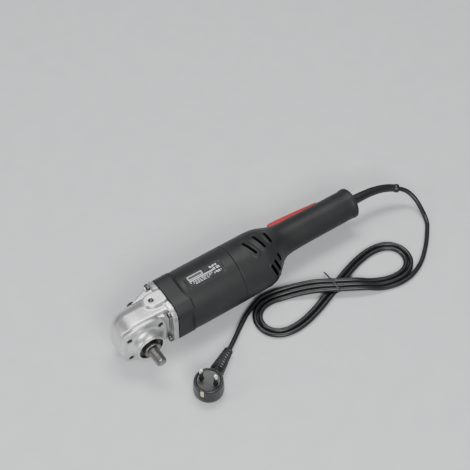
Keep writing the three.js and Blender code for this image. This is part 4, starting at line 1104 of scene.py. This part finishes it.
def rear_shell(side):
    """Half of the rear body. Outside: circles whose radius and middle run through the stations as a smooth
    curve, raised by a soft rim round each slot; inside: the same 3 mm in, with an end wall and a hole for
    the guard. The halves meet at z = 0 in flat faces that join the outer wall to the inner one."""
    x = np.concatenate([[98.3, 98.6, 99.0], np.arange(99.8, 112, 1.2), np.arange(112, 168, 0.6),
                        np.arange(168, 284, 1.5), np.arange(284, 296.8, 0.4), [297.0]])
    cy, radius = (spline_through(REAR[:, 0], REAR[:, k], x) for k in (1, 2))
    radius = radius - 0.45 * (1 - ease(98.3, 98.9, x))
    columns = 150
    limit = GAP / 2
    start = np.arcsin(limit / radius)
    turn = start[:, None] + (math.pi - 2 * start)[:, None] * np.linspace(0, 1, columns)[None, :]
    xx = np.broadcast_to(x[:, None], turn.shape)
    y, z = cy[:, None] + radius[:, None] * np.cos(turn), side * radius[:, None] * np.sin(turn)
    away = slot_distance(xx, y, z, side, facing=True)
    raised = 0.95 * (1 - ease(3.4, 7.2, away))
    near = slot_distance(xx, y, z, side, facing=False)
    raised = raised + 0.5 * (1 - ease(2.6, 4.2, near))
    fit = radius[:, None] + np.minimum(raised, 39.5 - radius[:, None] + 0.6)
    y, z = cy[:, None] + fit * np.cos(turn), side * fit * np.sin(turn)
    if side < 0:
        z = np.maximum(z, REST_Z)
    outside = np.stack([xx, y, z], -1)
    inner_r = np.where(x < END_WALL_X, radius - WALL, 7.3)
    inner_cy = np.where(x < END_WALL_X, cy, HANDLE_Y)
    start = np.arcsin(limit / inner_r)
    turn = start[:, None] + (math.pi - 2 * start)[:, None] * np.linspace(0, 1, columns)[None, :]
    inside = np.stack([xx, inner_cy[:, None] + inner_r[:, None] * np.cos(turn),
                       side * inner_r[:, None] * np.sin(turn)], -1)
    loop = np.concatenate([outside, inside[:, ::-1]], axis=1)
    rows, cols = loop.shape[:2]
    body = grid_faces(rows, cols)
    j = np.arange(columns - 1)
    ends = [np.stack([k + j, k + j + 1, k + 2 * columns - 2 - j, k + 2 * columns - 1 - j], -1)
            for k in (0, (rows - 1) * cols)]
    faces = [body, ends[0][:, ::-1], ends[1]]
    half = f"rear_shell_{'upper' if side > 0 else 'lower'}"
    shell = new_piece(f"{half}_moulding", loop.reshape(-1, 3), faces, 38)
    posts = [screw_post(px, py, side) for px, py in SHELL_SCREWS]
    wall = block(113, 123.5, -34.4, 34.4, *sorted((side * limit, side * 13)))
    cut_away(wall, [rod(11.4, 114.6, 130, "x", (0, 0, 0)), rod(6, 110, 120, "x", (0, 0, 0))])
    cut_away(shell, [wall, *posts], operation="UNION")
    cutters = [slot_cutter(slot, side) for slot in SLOTS]
    if side < 0:
        cutters += [lathe("seat", [(3.6, -50), (3.6, -11), (1.9, -10.9), (1.9, 9)], "z", (px, py, 0), 40)
                    for px, py in SHELL_SCREWS]
    else:
        cutters += [rod(1.9, -5, 9, "z", (px, py, 0), 24) for px, py in SHELL_SCREWS]
    cutters.append(block(176.4, 258.6, 18.5, 60, *sorted((-side * 1, side * 8.3))))
    cutters.append(rod(1.8, -10.5, 10.5, "z", (*PADDLE_PIN, 0), 32))
    cutters.append(block(DIAL_X - DIAL_R - 1, DIAL_X + DIAL_R + 1, 20, 60, *sorted((-side * 1, side * 2.8))))
    cut_away(shell, cutters)
    return dress(shell, "housing_plastic", stands_for=(half,))


def screw_post(px, py, side):
    """Round post for a shell screw; its outer end follows the shell, one millimetre under the skin."""
    turn = np.arange(32) * 2 * math.pi / 32
    x, y = px + 5.2 * np.cos(turn), py + 5.2 * np.sin(turn)
    cy, radius = (spline_through(REAR[:, 0], REAR[:, k], x) for k in (1, 2))
    skin = np.sqrt(np.maximum((radius - 1.2) ** 2 - (y - cy) ** 2, 1))
    rings = np.stack([np.stack([x, y, np.full(32, side * GAP / 2)], -1), np.stack([x, y, side * skin], -1)])
    points, faces = tube_surface(rings)
    cy, radius = (spline_through(REAR[:, 0], REAR[:, k], [px])[0] for k in (1, 2))
    points[-1] = (px, py, side * math.sqrt((radius - 1.2) ** 2 - (py - cy) ** 2))
    return new_piece("post", points, faces)


def trigger_paddle():
    """Rounded bar: its side outline is drawn in towards the middle while the half-width grows, along a
    quarter circle, so that all edges are round; the finger face is crowned and has shallow grip ribs."""
    outline = [(190, 20.8), (178, 20.8), (177.4, 32), (178.4, 35), (181.5, 36.4), (200, 35.6), (230, 33.6),
               (257.4, 30.9), (258, 28.6), (256.6, 25.4), (246, 24.4), (200, 20.8), (190, 20.8)]
    outline = resample_loop(rounded(outline, 2.6, 6), 260)
    normal = np.stack([np.roll(outline[:, 1], 1) - np.roll(outline[:, 1], -1),
                       np.roll(outline[:, 0], -1) - np.roll(outline[:, 0], 1)], -1)
    normal /= np.linalg.norm(normal, axis=1, keepdims=True)
    middle = np.array([215.0, 28.5])
    normal *= np.sign(np.sum((outline - middle) * normal, axis=1))[:, None]
    top = normal[:, 1] > 0.9
    rib = 0.18 * np.cos((outline[:, 0] - 186) * 2 * math.pi / 4.2) * ease(185, 189, outline[:, 0])
    rib = rib * (1 - ease(205, 209, outline[:, 0])) * top
    fillet, half = 1.5, 8.0
    quarter = np.radians(np.linspace(0, 90, 7))
    inset = fillet * (1 - np.sin(quarter))
    height = half - fillet * (1 - np.cos(quarter))
    across = np.concatenate([-height, height[::-1]])
    inset = np.concatenate([inset, inset[::-1]])
    order = np.argsort(across, kind="stable")
    across, inset = across[order], inset[order]
    rings = []
    for z, draw in zip(across, inset):
        flat = outline - normal * (draw + (rib + 0.15)[:, None] * (draw < 0.4))
        rings.append(np.c_[flat, np.full(len(flat), z)])
    rings = np.stack(rings)
    paddle = new_piece("paddle_moulding", *tube_surface(rings), 50)
    cut_away(paddle, [rod(1.8, -20, 20, "z", (*PADDLE_PIN, 0), 32)])
    return dress(paddle, "paddle_plastic", "paddle", ("trigger_paddle",))


def resample_loop(line, count):
    """Points at equal steps along a closed line."""
    run = np.concatenate([[0], np.cumsum(np.linalg.norm(np.diff(line, axis=0), axis=1))])
    at = np.linspace(0, run[-1], count, endpoint=False)
    return np.stack([np.interp(at, run, line[:, k]) for k in range(2)], -1)


def speed_dial():
    """Thumb wheel: a thick disc whose rim has fine square notches, softened at both faces."""
    steps = 240
    turn = np.arange(steps) * 2 * math.pi / steps
    profile = [(2.3, -2.5), (8.3, -2.5), (9, -1.8), (9, 1.8), (8.3, 2.5), (2.3, 2.5), (2.3, -2.5)]
    profile = rounded(profile, 0.5, 4)
    rings = lathe_rings(profile[:-1], "z", (0, 0, 0), steps)
    notch = 0.45 * (0.5 - 0.5 * np.tanh(4 * np.cos(40 * turn)))
    rim = ease(8.2, 8.9, profile[:-1, 0])[:, None]
    scale = 1 - rim * notch[None, :] / 9
    rings[..., :2] = rings[..., :2] * scale[..., None]
    points, faces = tube_surface(rings + np.array([DIAL_X, DIAL_Y, 0]), closed=True)
    return dress(new_piece("dial_wheel", points, faces, 40), "housing_plastic", "dial", ("speed_dial",))


# ------------------------------------------------------------------ assembly

def dress_inner_parts():
    """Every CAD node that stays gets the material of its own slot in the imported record."""
    for entry in frame["record"]["subparts"]:
        part = frame["nodes"][entry["node"]]
        part.data.materials.clear()
        part.data.materials.append(MATERIALS[entry["material_slot"]])


studio()
studio_floor()
cord, route, cord_length = lead()
plug_body = plug()
guard = cord_guard()
tie = lead_tie()
dress_inner_parts()
gear_case()
bearing_cover()
spindle()
lock_button()
screws()
motor_housing()
rating_label()
rear_shell(1)
rear_shell(-1)
trigger_paddle()
speed_dial()
